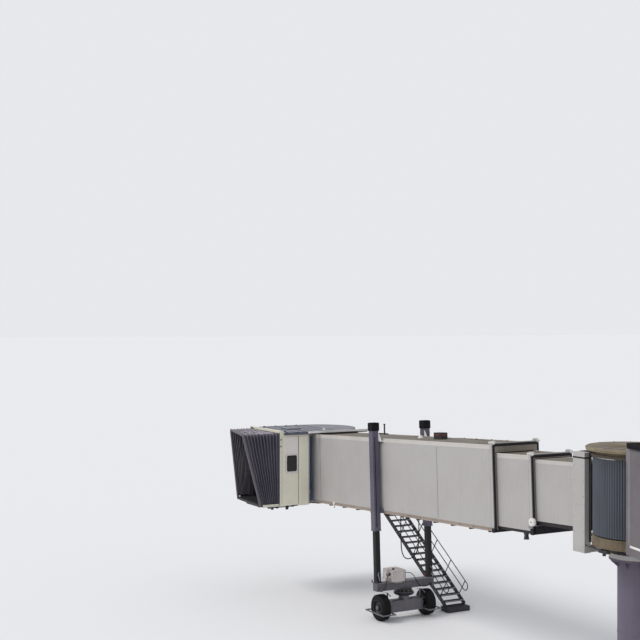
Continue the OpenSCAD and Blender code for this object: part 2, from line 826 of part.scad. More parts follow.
// Stair frame: origin on the upper hinge, x down the flight towards the foot
stair_len = (stair_pin_z - 260) / sin(stair_angle);
module in_stair() {
    translate([stair_top_x, 0, stair_pin_z])
        rotate([0, -stair_angle, 0])
            mirror([1, 0, 0])
                children();
}

module stair_flight() {
    string_t = stair_string_t;
    string_back = 30;
    tread_l = 270;
    tread_t = 35;
    foot = [600, stair_w + 80, 200];
    foot_z = 5;
    color("#4b4852") {
        for (y = [-stair_y - string_t, -stair_far])
            in_stair()
                translate([-string_back, y, stair_string_top - stair_string_h])
                    cube([stair_len + string_back, string_t, stair_string_h]);
        for (y = [-stair_y - string_t - 30 - stair_ear_t, -stair_far])
            translate([stair_top_x, y, stair_pin_z])
                rotate([-90, 0, 0])
                    cylinder(r = stair_pin_r, h = string_t + 30 + stair_ear_t);
        for (i = [1:tread_count])
            translate([stair_top_x - i * stair_len * cos(stair_angle) / (tread_count + 0.6) - tread_l / 2,
                -stair_far + string_t, stair_pin_z - i * stair_len * sin(stair_angle) / (tread_count + 0.6)])
                cube([tread_l, stair_w - 2 * string_t, tread_t]);
        translate([stair_top_x - stair_len * cos(stair_angle) - foot[0] / 2, -stair_far - 40, foot_z])
            cube(foot);
    }
}

module stair_rails() {
    rail_r = 20;
    rail_h = 950 * cos(stair_angle);
    rail_x = 200;
    rail_l = stair_len - 620;
    post_n = 6;
    post_z = stair_string_top;
    color("#55525a")
        for (y = [-stair_y - 20, -stair_far + 20])
            in_stair() {
                for (z = [rail_h, rail_h / 2])
                    translate([rail_x, y, z + post_z])
                        rotate([0, 90, 0])
                            cylinder(r = rail_r, h = rail_l, $fn = 24);
                for (i = [0:post_n - 1])
                    translate([rail_x + i * (rail_l - 120) / (post_n - 1), y, post_z])
                        cylinder(r = rail_r, h = rail_h, $fn = 24);
                translate([rail_x + rail_l, y, post_z + rail_h * 3 / 4])
                    rotate([90, 0, 0])
                        rotate([0, 0, -90])
                            rotate_extrude(angle = 180)
                                translate([rail_h / 4, 0])
                                    circle(r = rail_r, $fn = 24);
            }
}

// Cab frame: origin on the ground at the turning axis, x towards the cab's front
cab_wall_t = 60;
cab_bottom = deck_z - 80;
cab_top = head_ring_z + head_ring_t + 50;
cab_front_l = 120;
module in_cab() {
    translate([cab_x, 0, 0])
        rotate([0, 0, cab_heading])
            children();
}

canopy_pivot_z = cab_bottom + 60;
canopy_pin_r = 30;
hoop_bar = 90;
ear_t = 40;
ear_y = cab_half_w - hoop_bar - 10;
front_edge = 90;

// Canopy frame: origin below the middle of its pivot line, x square to the cab's front edge
module in_canopy() {
    in_cab()
        translate([canopy_reach, 0, 0])
            rotate([0, 0, -front_skew])
                children();
}

// Place of the floor's front edge at a distance from the cab's middle line
function front_edge_x(y) = canopy_reach - front_edge / cos(front_skew) + y * tan(front_skew);

// Return panel between a side wall's back edge and the round curtain
return_l = 330;
return_t = 30;
return_angle = 115;
cab_inner_w = cab_half_w - cab_wall_t;
cab_front_x = cab_front - cab_front_l;

// Plan of a side wall with its return panel; side is 1 for the left and -1 for the right
module cab_wall_plan(side) {
    run_x = return_l * cos(return_angle);
    run_y = return_l * sin(return_angle);
    polygon([for (p = [[cab_back, cab_half_w], [cab_front_x, cab_half_w], [cab_front_x, cab_inner_w],
        [cab_back + return_t / sin(return_angle), cab_inner_w],
        [cab_back + run_x + return_t * sin(return_angle), cab_inner_w - run_y + return_t * cos(return_angle)],
        [cab_back + run_x, cab_inner_w - run_y], [cab_back, cab_inner_w]]) [p[0], side * p[1]]]);
}

// Space behind a return panel, where the round curtain and the fixed deck are
module behind_return(side) {
    clear = 5;
    reach = 700;
    translate([cab_back, side * cab_inner_w, cab_bottom - 10])
        rotate([0, 0, -side * return_angle])
            translate([-reach, side > 0 ? -reach : -return_t - clear, 0])
                cube([return_l + 2 * reach, return_t + clear + reach, cab_top - cab_bottom]);
}

module cab_floor() {
    under_t = 100;
    under_z = deck_z - deck_t - 30 - under_t;
    color("#77726e")
        in_cab() {
            difference() {
                translate([0, 0, cab_bottom])
                    linear_extrude(deck_z - cab_bottom)
                        polygon([[0, -cab_inner_w], [front_edge_x(-cab_inner_w), -cab_inner_w],
                            [front_edge_x(cab_inner_w), cab_inner_w], [0, cab_inner_w]]);
                cylinder(r = deck_r + 20, h = 2 * deck_z);
                for (side = [-1, 1])
                    behind_return(side);
            }
            translate([0, 0, under_z])
                cylinder(r = 1100, h = under_t);
            translate([0, -700, under_z])
                cube([canopy_reach - 200, 1400, under_t]);
            for (y = [-700, 600])
                translate([deck_r + 40, y, under_z + under_t])
                    cube([canopy_reach - 240 - deck_r, 100, cab_bottom - under_z - under_t]);
            translate([0, 0, under_z + under_t])
                cylinder(r = pivot_r, h = 130);
        }
    color("#3c3a40")
        in_canopy() {
            translate([-front_edge, -ear_y + ear_t, cab_bottom])
                cube([front_edge + 40, 2 * (ear_y - ear_t), deck_z - cab_bottom + 10]);
            for (y = [ear_y - ear_t, -ear_y])
                difference() {
                    translate([-front_edge, y, canopy_pivot_z - 60])
                        cube([front_edge + 60, ear_t, 120]);
                    translate([0, y - 1, canopy_pivot_z])
                        rotate([-90, 0, 0])
                            cylinder(r = canopy_pin_r + run_gap, h = ear_t + 2);
                }
        }
}

window_x = [2040, 2560];
window_z = [1560, 2300];

// Outline of a cab window in its wall, smaller all round by a clearance
module window_shape(clear = 0) {
    r = window_r;
    x = [window_x[0] + clear, window_x[1] - clear];
    z = [cab_bottom + window_z[0] + clear, cab_bottom + window_z[1] - clear];
    translate([x[0] + r, z[0]])
        square([x[1] - x[0] - 2 * r, z[1] - z[0]]);
    translate([x[0], z[0] + r])
        square([x[1] - x[0], z[1] - z[0] - 2 * r]);
    for (cx = [x[0] + r, x[1] - r])
        for (cz = [z[0] + r, z[1] - r])
            translate([cx, cz])
                circle(r = r);
}
module cab_side(side) {
    in_cab()
        difference() {
            translate([0, 0, cab_bottom])
                linear_extrude(cab_top - cab_bottom)
                    cab_wall_plan(side);
            rotate([90, 0, 0])
                linear_extrude(4 * cab_half_w, center = true)
                    window_shape();
        }
}
module cab_left_wall() {
    color("#c6c2b4")
        cab_side(1);
}
module cab_right_wall() {
    color("#c6c2b4")
        cab_side(-1);
}

module cab_windows() {
    pane_t = 20;
    color("#202226")
        in_cab()
            for (side = [-1, 1])
                translate([0, side * (cab_half_w - cab_wall_t / 2) + pane_t / 2, 0])
                    rotate([90, 0, 0])
                        linear_extrude(pane_t)
                            window_shape(0.3);
}

cheek_l = 400;
cheek_t = 30;
module cab_roof() {
    overhang = 30;
    eave_x = cab_front_x - cheek_l - 5;
    color("#4d5361")
        in_cab()
            translate([0, 0, cab_top])
                linear_extrude(120)
                    union() {
                        circle(r = deck_r + 90);
                        translate([0, -cab_half_w - overhang])
                            square([eave_x, 2 * (cab_half_w + overhang)]);
                        translate([0, -cab_half_w + cheek_t])
                            square([cab_front_x, 2 * (cab_half_w - cheek_t)]);
                    }
}

module cab_front_frame() {
    jamb = 230;
    color("#aaa59a") {
        in_cab()
            for (y = [-cab_half_w, cab_half_w - cheek_t])
                translate([cab_front_x + 1, y + cheek_t, cab_top])
                    rotate([90, 0, 0])
                        linear_extrude(cheek_t)
                            polygon([[-cheek_l, 0], [0, 0], [0, frame_rise]]);
        in_cab()
            translate([cab_front_x, 0, 0])
                rotate([90, 0, 90])
                    linear_extrude(cab_front_l)
                        difference() {
                            translate([-cab_half_w, cab_bottom])
                                square([2 * cab_half_w, cab_top + frame_rise - cab_bottom]);
                            translate([-cab_half_w + jamb, cab_bottom - 1])
                                square([2 * (cab_half_w - jamb), cab_top - cab_bottom - 350]);
                            translate([-cab_inner_w, cab_bottom - 1])
                                square([2 * cab_inner_w, deck_z - cab_bottom + 1.2]);
                        }
    }
}

module cab_curtains() {
    left_from = cab_heading + 46;
    left_to = 138.5;
    right_from = -138.5;
    right_to = cab_heading - 46;
    color("#3c424e")
        translate([cab_x, 0, deck_z + 0.5]) {
            curtain_arc(deck_r - 20, left_from, left_to, head_ring_z - deck_z - 1);
            curtain_arc(deck_r - 20, right_from, right_to, head_ring_z - deck_z - 1);
        }
}

canopy_h = cab_top - canopy_pivot_z + 110;
hoop_d = 100;

// Place of the hoop's back face: its legs lean by different angles from the skewed pivot line
hoop_half_w = cab_half_w - 10;
function hoop_x(y, z) =
    let (rise = (tan(left_lean) + tan(right_lean)) / 2,
        twist = (tan(left_lean) - tan(right_lean)) / 2 / hoop_half_w)
    canopy_reach - hoop_d / 2 + y * tan(front_skew) + (z - canopy_pivot_z) * (rise + twist * y);

// Slice of a hoop leg, square to Y
module hoop_slice(y) {
    low = canopy_pivot_z - 45;
    top = canopy_pivot_z + canopy_h + 10;
    translate([0, y, 0])
        rotate([90, 0, 0])
            linear_extrude(1, center = true)
                polygon([[hoop_x(y, low), low], [hoop_x(y, low) + hoop_d, low],
                    [hoop_x(y, top) + hoop_d, top], [hoop_x(y, top), top]]);
}

module canopy_hoop() {
    top = canopy_pivot_z + canopy_h;
    pin_l = hoop_bar / 2 + cab_half_w - hoop_bar - ear_y + ear_t;
    color("#3a3840") {
        in_cab() {
            for (side = [-1, 1])
                hull() {
                    hoop_slice(side * cab_half_w);
                    hoop_slice(side * (cab_half_w - hoop_bar));
                }
            translate([0, 0, top + 10 - hoop_bar])
                linear_extrude(hoop_bar)
                    polygon([for (p = [[0, -1], [hoop_d, -1], [hoop_d, 1], [0, 1]])
                        [hoop_x(p[1] * hoop_half_w, top) + p[0], p[1] * hoop_half_w]]);
        }
        in_canopy()
            for (side = [-1, 1])
                translate([0, side * (ear_y - ear_t + 1 + pin_l / 2), canopy_pivot_z])
                    rotate([90, 0, 0])
                        cylinder(r = canopy_pin_r, h = pin_l, center = true);
    }
}

// Pleated canopy: arch-shaped rings between the cab's front and the hoop, every second one inset
pleat_depth = 130;
canopy_t = 30;
canopy_gap = 6;
function arch(inset) =
    let (w = hoop_half_w - inset, top = canopy_pivot_z + canopy_h - inset, low = canopy_pivot_z + 70)
    [[w, low], [w, top], [-w, top], [-w, low]];
function arch_ring(t, inset) =
    [for (p = arch(inset)) [(1 - t) * (cab_front + 0.3) + t * (hoop_x(p[0], p[1]) - canopy_gap), p[0], p[1]]];
module canopy_bellows() {
    rings = 2 * pleats + 1;
    n = len(arch(0));
    m = rings * n;
    insets = [for (k = [0:rings - 1]) k % 2 == 0 ? 0 : pleat_depth];
    outer = [for (k = [0:rings - 1]) each arch_ring(k / (rings - 1), insets[k])];
    inner = [for (k = [0:rings - 1]) each arch_ring(k / (rings - 1), insets[k] + canopy_t)];
    skin = [for (k = [0:rings - 2]) for (i = [0:n - 2]) each [
        [k * n + i, k * n + i + 1, (k + 1) * n + i + 1],
        [k * n + i, (k + 1) * n + i + 1, (k + 1) * n + i],
        [m + k * n + i + 1, m + k * n + i, m + (k + 1) * n + i + 1],
        [m + (k + 1) * n + i + 1, m + k * n + i, m + (k + 1) * n + i]]];
    feet = [for (k = [0:rings - 2]) each [
        [k * n, (k + 1) * n, m + (k + 1) * n],
        [k * n, m + (k + 1) * n, m + k * n],
        [(k + 1) * n - 1, m + (k + 1) * n - 1, m + (k + 2) * n - 1],
        [(k + 1) * n - 1, m + (k + 2) * n - 1, (k + 2) * n - 1]]];
    ends = [for (i = [0:n - 2]) each [
        [i, m + i + 1, i + 1],
        [i, m + i, m + i + 1],
        [(rings - 1) * n + i, (rings - 1) * n + i + 1, m + (rings - 1) * n + i + 1],
        [(rings - 1) * n + i, m + (rings - 1) * n + i + 1, m + (rings - 1) * n + i]]];
    color("#37343f")
        in_cab()
            polyhedron(concat(outer, inner), concat(skin, feet, ends));
}

rotunda_column();
rotunda_floor();
rotunda_roof();
corridor_floor();
corridor_walls();
corridor_roof();
corridor_end_frame();
portal_frame();
rotunda_curtains();
tunnel_a_floor();
tunnel_a_walls();
tunnel_a_roof();
tunnel_b_floor();
tunnel_b_walls();
tunnel_b_roof();
tunnel_b_end_frame();
tunnel_c_floor();
tunnel_c_near_wall();
tunnel_c_far_wall();
tunnel_c_roof();
tunnel_c_end_frame();
service_door();
lift_sleeves();
stair_landing();
stair_flight();
stair_rails();
lift_rams();
crossbeam();
control_box();
cable_loop();
near_cable();
far_cable();
bogie_frame();
wheel_guards();
near_wheel();
far_wheel();
cab_floor();
cab_left_wall();
cab_right_wall();
cab_windows();
cab_roof();
cab_front_frame();
cab_curtains();
canopy_hoop();
canopy_bellows();
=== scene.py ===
"""Looks of an apron passenger bridge: paint and dirt, cladding, slats, fabric, cables and fittings round its parts."""
import json
from math import atan2, ceil, copysign, cos, hypot, pi, radians, sin, tan

import bmesh
import bpy
from mathutils import Matrix, Vector


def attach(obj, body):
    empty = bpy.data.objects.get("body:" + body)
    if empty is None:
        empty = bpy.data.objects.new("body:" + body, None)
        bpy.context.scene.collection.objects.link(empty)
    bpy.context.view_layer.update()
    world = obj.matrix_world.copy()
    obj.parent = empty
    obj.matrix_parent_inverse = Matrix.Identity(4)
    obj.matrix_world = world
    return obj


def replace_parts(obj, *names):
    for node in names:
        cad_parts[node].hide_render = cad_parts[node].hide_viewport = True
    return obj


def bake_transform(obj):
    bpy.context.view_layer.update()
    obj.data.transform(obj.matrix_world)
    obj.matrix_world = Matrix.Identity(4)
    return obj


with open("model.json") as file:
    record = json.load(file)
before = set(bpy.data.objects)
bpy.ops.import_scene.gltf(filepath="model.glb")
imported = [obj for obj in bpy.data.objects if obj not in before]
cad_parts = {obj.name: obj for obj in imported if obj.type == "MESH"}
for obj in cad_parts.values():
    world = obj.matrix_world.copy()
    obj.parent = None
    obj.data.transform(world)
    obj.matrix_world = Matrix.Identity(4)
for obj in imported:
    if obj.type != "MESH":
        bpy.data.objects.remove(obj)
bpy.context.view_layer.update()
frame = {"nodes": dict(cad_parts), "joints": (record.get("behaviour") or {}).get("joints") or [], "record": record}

# Places that the frame gives, in metres
JOINTS = {joint["name"]: joint for joint in frame["joints"]}
HINGE = Vector(JOINTS["tunnel_pitch"]["pos_m"])
CAB_AXIS = Vector(JOINTS["cab_turn"]["pos_m"])
STAIR_PIN = Vector(JOINTS["stair_pitch"]["pos_m"])
BOGIE_X = JOINTS["bogie_yaw"]["pos_m"][0]
DOWN_TUNNEL = Vector(JOINTS["b_slide"]["axis"])
SLOPE = atan2(-DOWN_TUNNEL.z, DOWN_TUNNEL.x)
STAIR_ANGLE = radians(34.4)

IN_TUNNEL = Matrix.Translation(HINGE) @ Matrix.Rotation(SLOPE, 4, "Y")
IN_CAB = Matrix.Translation((CAB_AXIS.x, 0, 0)) @ Matrix.Rotation(radians(90), 4, "Z")
IN_CORRIDOR = Matrix.Rotation(radians(165), 4, "Z")
IN_STAIR = Matrix.Translation(STAIR_PIN) @ Matrix.Rotation(-STAIR_ANGLE, 4, "Y") @ Matrix.Scale(-1, 4, (1, 0, 0))
AT_BOGIE = Matrix.Translation((BOGIE_X, 0, 0))

# Half widths over the walls, and the foot of tunnel C's walls
A_HALF, B_HALF, C_HALF = 0.76, 0.90, 1.05
C_LOW = -0.20

# Camera of the photograph
camera_data = bpy.data.cameras.new("camera")
camera_data.lens = 66.15
camera_data.sensor_width = 36
camera_data.shift_y = 0.011
camera_data.clip_end = 4000
camera = bpy.data.objects.new("camera", camera_data)
camera.location = (-28.5, 27.5, 12.4)
camera.rotation_euler = Vector((0.875, -0.485, 0)).to_track_quat("-Z", "Y").to_euler()
bpy.context.scene.collection.objects.link(camera)
bpy.context.scene.camera = camera


def srgb(red, green, blue):
    """Linear colour of an sRGB one given from 0 to 255."""
    return [*[((v / 255 + 0.055) / 1.055) ** 2.4 for v in (red, green, blue)], 1]


class Look:
    """A material whose nodes are added one by one."""

    def __init__(self, name, **settings):
        self.material = bpy.data.materials.new(name)
        self.material.use_nodes = True
        self.tree = self.material.node_tree
        self.shader = self.tree.nodes["Principled BSDF"]
        self.object_place = self.add("ShaderNodeTexCoord").outputs["Object"]
        for socket, value in settings.items():
            self.shader.inputs[socket.replace("_", " ")].default_value = value

    def add(self, kind, inputs=None, **settings):
        node = self.tree.nodes.new(kind)
        for key, value in settings.items():
            setattr(node, key, value)
        for key, value in (inputs or {}).items():
            if isinstance(value, bpy.types.NodeSocket):
                self.tree.links.new(value, node.inputs[key])
            else:
                node.inputs[key].default_value = value
        return node

    def noise(self, scale, stretch=(1, 1, 1), detail=4, rough=0.6):
        """Noise from 0 to 1 with scale waves a metre, stretched along the axes."""
        place = self.add("ShaderNodeMapping", {"Vector": self.object_place, "Scale": stretch})
        made = self.add("ShaderNodeTexNoise", {"Vector": place.outputs[0], "Scale": scale, "Detail": detail,
                                               "Roughness": rough})
        return made.outputs["Fac"]

    def ramp(self, value, low, high, out_low=0.0, out_high=1.0):
        made = self.add("ShaderNodeMapRange", {"Value": value, "From Min": low, "From Max": high,
                                               "To Min": out_low, "To Max": out_high})
        return made.outputs[0]

    def mix(self, factor, a, b):
        return self.add("ShaderNodeMix", {0: factor, 6: a, 7: b}, data_type="RGBA").outputs[2]

    def upward(self, low=0.4, high=0.75):
        """1 on faces that look up, 0 on the sides."""
        normal = self.add("ShaderNodeTexCoord").outputs["Normal"]
        return self.ramp(self.add("ShaderNodeSeparateXYZ", {"Vector": normal}).outputs["Z"], low, high)

    def bump(self, height, strength, distance):
        made = self.add("ShaderNodeBump", {"Height": height, "Strength": strength, "Distance": distance})
        self.tree.links.new(made.outputs[0], self.shader.inputs["Normal"])

    def finish(self, colour, rough):
        self.tree.links.new(colour, self.shader.inputs["Base Color"])
        self.tree.links.new(rough, self.shader.inputs["Roughness"])
        return self.material


def paint(name, colour, dirt, rough, blotch=0.5, streak=0.5, shine=0.5, top=None, top_dirt=None, metal=0.0):
    """Weathered paint with blotches, streaks of dirt that run down the sides, and fine grain."""
    look = Look(name, Metallic=metal, Specular_IOR_Level=shine)
    colour, dirt = srgb(*colour), srgb(*dirt)
    blotches = look.ramp(look.noise(0.7, detail=6), 0.45, 0.75, 0, blotch)
    streaks = look.ramp(look.noise(1.0, (5, 5, 0.35), 5, 0.7), 0.5, 0.78, 0, streak)
    grain = look.noise(55, detail=3)
    sides = look.mix(streaks, look.mix(blotches, colour, dirt), dirt)
    if top:
        top_marks = look.ramp(look.noise(1.3, (0.5, 2.2, 1), 6, 0.7), 0.42, 0.72)
        sides = look.mix(look.upward(), sides, look.mix(top_marks, srgb(*top), srgb(*top_dirt)))
    colour_out = look.mix(look.ramp(grain, 0.3, 0.8, 0, 0.16), sides, dirt)
    look.bump(grain, 0.08, 0.004)
    return look.finish(colour_out, look.ramp(blotches, 0, 1, rough, min(1, rough + 0.25)))


def rubber(name, colour, dust):
    look = Look(name, Specular_IOR_Level=0.25)
    marks = look.noise(7, detail=6)
    look.bump(look.noise(130, detail=2), 0.15, 0.002)
    return look.finish(look.mix(look.ramp(marks, 0.5, 0.8, 0, 0.5), srgb(*colour), srgb(*dust)),
                       look.ramp(marks, 0.2, 0.8, 0.65, 0.9))


def cloth(name, colour, dust):
    """Coated fabric with a fine weave, creases and dust on the folds that look up."""
    look = Look(name)
    colour, dust = srgb(*colour), srgb(*dust)
    weave = look.add("ShaderNodeTexWave", {"Vector": look.object_place, "Scale": 90.0, "Distortion": 0.6},
                     wave_type="BANDS", bands_direction="DIAGONAL")
    creases = look.noise(3.5, (1, 1, 2.4), 6, 0.7)
    toned = look.mix(look.ramp(creases, 0.45, 0.75, 0, 0.45), colour, dust)
    toned = look.mix(look.ramp(look.upward(0.2, 0.9), 0, 1, 0, 0.35), toned, dust)
    height = look.add("ShaderNodeMath", {0: weave.outputs["Fac"], 1: creases}, operation="ADD")
    look.bump(height.outputs[0], 0.25, 0.004)
    return look.finish(toned, look.ramp(creases, 0.3, 0.7, 0.6, 0.85))


def glass(name, colour, haze_colour):
    look = Look(name, Metallic=0.0, Specular_IOR_Level=0.7)
    haze = look.noise(4, detail=5)
    return look.finish(look.mix(look.ramp(haze, 0.5, 0.9, 0, 0.25), srgb(*colour), srgb(*haze_colour)),
                       look.ramp(haze, 0.3, 0.8, 0.08, 0.25))


# Colour, dirt, roughness, blotches, streaks, shine, colour and dirt of the upper faces, metal
PAINTS = {
    "column_paint": ((99, 90, 107), (72, 65, 74), 0.55, 0.4, 0.3),
    "floor_ring_paint": ((112, 99, 76), (62, 51, 38), 0.6, 0.8, 0.9, 0.5, (150, 140, 118), (96, 86, 74)),
    "roof_sheet": ((198, 194, 190), (160, 152, 144), 0.6, 0.3, 0.25, 0.15, (112, 104, 93), (84, 76, 66)),
    "rotunda_roof": ((150, 138, 116), (88, 78, 64), 0.65, 0.6, 0.6, 0.2, (124, 114, 102), (96, 86, 76)),
    "head_band": ((104, 97, 84), (72, 63, 50), 0.6, 0.7, 0.9, 0.2),
    "corridor_cladding": ((106, 101, 104), (82, 76, 77), 0.6, 0.4, 0.3),
    "corner_post": ((124, 120, 124), (92, 87, 88), 0.55),
    "roof_cap": ((25, 24, 28), (40, 37, 38), 0.9, 0.5, 0.5, 0.15),
    "wall_paint": ((174, 171, 169), (150, 145, 140), 0.45, 0.28, 0.18),
    "sill_paint": ((158, 145, 134), (112, 98, 86), 0.6, 0.6, 0.6),
    "underframe": ((34, 32, 36), (60, 55, 53), 0.6, 0.5, 0.5, 0.3),
    "lift_paint": ((92, 88, 105), (60, 57, 66), 0.5, 0.4, 0.6),
    "ram_steel": ((20, 19, 22), (36, 34, 34), 0.5, 0.5, 0.4, 0.3),
    "box_paint": ((197, 189, 186), (142, 133, 126), 0.5, 0.4, 0.5),
    "bogie_paint": ((104, 101, 108), (66, 62, 64), 0.55, 0.6, 0.6),
    "stair_steel": ((60, 57, 64), (41, 39, 42), 0.6, 0.5, 0.5, 0.3),
    "cab_paint": ((230, 226, 208), (190, 180, 160), 0.45, 0.3, 0.25),
    "cab_roof_paint": ((92, 97, 112), (60, 62, 70), 0.6, 0.5, 0.5, 0.5, (128, 127, 137), (101, 99, 103)),
    "cab_underframe": ((72, 69, 70), (48, 45, 45), 0.6),
    "cab_inside_shade": ((58, 55, 62), (40, 38, 42), 0.6, 0.5, 0.3),
    # Strip colour lightened to make up for the cab roof's shade: painted light
    "cab_strip": ((126, 134, 152), (98, 104, 118), 0.5, 0.3, 0.3),
    "curtain_slats": ((69, 74, 83), (46, 49, 55), 0.45, 0.4, 0.5),
    "white_fitting": ((226, 224, 220), (170, 164, 156), 0.45, 0.3, 0.4),
    "black_fitting": ((30, 29, 32), (58, 55, 54), 0.5, 0.4, 0.3),
    "panel_pink": ((228, 220, 218), (196, 184, 180), 0.45, 0.3, 0.2),
    # Painted shade for an end frame's rear face: a brown band and a grey band
    "weathered_face": ((140, 131, 120), (100, 92, 82), 0.6, 0.6, 0.5),
    "frame_band": ((122, 119, 117), (96, 91, 86), 0.6, 0.4, 0.4, 0.2),
    "rim_paint": ((36, 34, 38), (26, 24, 26), 0.5, 0.5, 0.4),
    "beam_paint": ((86, 83, 89), (56, 53, 57), 0.5, 0.5, 0.4),
    "beam_top": ((128, 125, 128), (84, 80, 80), 0.55, 0.5, 0.3),
    "red_lens": ((132, 26, 24), (90, 22, 20), 0.3, 0.3, 0.2),
    "bare_steel": ((150, 148, 146), (96, 90, 84), 0.35, 0.5, 0.4, 0.5, None, None, 0.7),
}
LOOKS = {name: paint(name, *row) for name, row in PAINTS.items()}
for kind, name, colour, dust in (
        (rubber, "tyre", (17, 16, 19), (42, 39, 38)), (rubber, "hoop_padding", (104, 100, 106), (134, 128, 130)),
        (rubber, "cable_rubber", (24, 23, 26), (60, 56, 54)), (rubber, "seal_rubber", (36, 34, 38), (76, 72, 70)),
        # Lighter fold fabrics: painted highlights on the canopy's fold crests
        (cloth, "canopy_fabric", (58, 56, 67), (92, 88, 98)), (cloth, "worn_fold", (98, 94, 106), (132, 128, 138)),
        (cloth, "sunlit_fold", (150, 144, 152), (182, 176, 182)),
        (glass, "window_glass", (18, 20, 25), (60, 62, 66))):
    LOOKS[name] = kind(name, colour, dust)

# CAD nodes keep their shape and get the finish of their slot
for part in frame["record"]["subparts"]:
    materials = frame["nodes"][part["node"]].data.materials
    materials.clear()
    materials.append(LOOKS[part["material_slot"]])
for name, look in (("rotunda_roof", "rotunda_roof"), ("crossbeam", "beam_paint"),
                   ("corridor_end_frame", "corner_post")):
    frame["nodes"][name].data.materials[0] = LOOKS[look]

# The cab's walls are dark on their inner faces: painted shade of the cab's inside
TO_CAB = IN_CAB.inverted()
for name in ("cab_left_wall", "cab_right_wall", "cab_front_frame"):
    mesh = frame["nodes"][name].data
    mesh.materials.append(LOOKS["cab_inside_shade"])
    for polygon in mesh.polygons:
        centre = TO_CAB @ polygon.center
        if abs(centre.y) < 1.53 and 1.24 < centre.x < 2.95 and centre.z < 7.40:
            polygon.material_index = 1


class Shape:
    """Collects closed solids into one mesh; each solid wears one of the piece's materials."""

    AXES = {"x": lambda a, b, c: (c, a, b), "y": lambda a, b, c: (a, c, b), "z": lambda a, b, c: (a, b, c)}

    def __init__(self, place=None):
        self.mesh = bmesh.new()
        self.place = place or Matrix()

    def solid(self, points, faces, wear=0):
        corners = [self.mesh.verts.new(self.place @ Vector(point)) for point in points]
        for face in faces:
            self.mesh.faces.new([corners[i] for i in face]).material_index = wear

    def loft(self, rings, wear=0, closed=False):
        """Skin over rings of points with caps at both ends, or back to the first ring."""
        sides = len(rings[0])
        faces = []
        for i in range(len(rings) if closed else len(rings) - 1):
            n = (i + 1) % len(rings)
            for k in range(sides):
                m = (k + 1) % sides
                faces.append((i * sides + k, i * sides + m, n * sides + m, n * sides + k))
        if not closed:
            last = (len(rings) - 1) * sides
            faces += [tuple(range(sides)), tuple(range(last, last + sides))]
        self.solid([point for ring in rings for point in ring], faces, wear)

    def prism(self, outline, axis, start, end, wear=0):
        turn = self.AXES[axis]
        self.loft([[turn(a, b, start) for a, b in outline], [turn(a, b, end) for a, b in outline]], wear)

    def box(self, low, high, wear=0):
        outline = [(low[0], low[1]), (high[0], low[1]), (high[0], high[1]), (low[0], high[1])]
        self.prism(outline, "z", low[2], high[2], wear)

    def side_box(self, side, x, y, z, wear=0):
        """Box between pairs of x, y and z, with y counted outwards on one side of the bridge."""
        near, far = sorted((side * y[0], side * y[1]))
        self.box((x[0], near, z[0]), (x[1], far, z[1]), wear)

    def disc(self, centre, radius, length, axis="z", wear=0, sides=24, inner=None):
        """Cylinder with its middle at centre, or a cone when inner gives the radius at its far end."""
        turn = self.AXES[axis]
        rings = []
        for reach, r in ((-length / 2, radius), (length / 2, radius if inner is None else inner)):
            offsets = [turn(r * cos(2 * pi * k / sides), r * sin(2 * pi * k / sides), reach) for k in range(sides)]
            rings.append([[c + o for c, o in zip(centre, offset)] for offset in offsets])
        self.loft(rings, wear)

    def tube(self, path, radius, sides=8, wear=0):
        points = [Vector(point) for point in path]
        rings = []
        side = None
        for i, point in enumerate(points):
            along = (points[min(i + 1, len(points) - 1)] - points[max(i - 1, 0)]).normalized()
            if side is None:
                helper = Vector((1, 0, 0)) if abs(along.x) < 0.8 else Vector((0, 1, 0))
                side = along.cross(helper).normalized()
            else:
                side = (side - along * side.dot(along)).normalized()
            up = side.cross(along)
            rings.append([point + radius * (cos(2 * pi * k / sides) * side + sin(2 * pi * k / sides) * up)
                          for k in range(sides)])
        self.loft(rings, wear)

    def revolve(self, profile, steps=64, wear=0):
        """Ring of a closed profile of (radius, height) points round the Z axis."""
        rings = [[(r * cos(2 * pi * k / steps), r * sin(2 * pi * k / steps), h) for r, h in profile]
                 for k in range(steps)]
        self.loft(rings, wear, closed=True)

    def collar(self, r0, r1, z0, z1, steps=72, wear=0):
        self.revolve([(r0, z0), (r1, z0), (r1, z1), (r0, z1)], steps, wear)

    def make(self, name, body, slot, looks=None, bevel=0.0, angle=35):
        """Turn the solids into a piece with the named looks, or with the look of its slot alone."""
        bmesh.ops.recalc_face_normals(self.mesh, faces=self.mesh.faces[:])
        data = bpy.data.meshes.new(name)
        self.mesh.to_mesh(data)
        self.mesh.free()
        for look in (looks or slot).split():
            data.materials.append(LOOKS[look])
        data.polygons.foreach_set("use_smooth", [True] * len(data.polygons))
        data.set_sharp_from_angle(angle=radians(angle))
        piece = bpy.data.objects.new(name, data)
        bpy.context.scene.collection.objects.link(piece)
        if bevel:
            edges = piece.modifiers.new("edges", "BEVEL")
            edges.width = bevel
            edges.segments = 2
            edges.limit_method = "ANGLE"
        if body:
            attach(piece, body)
        return piece


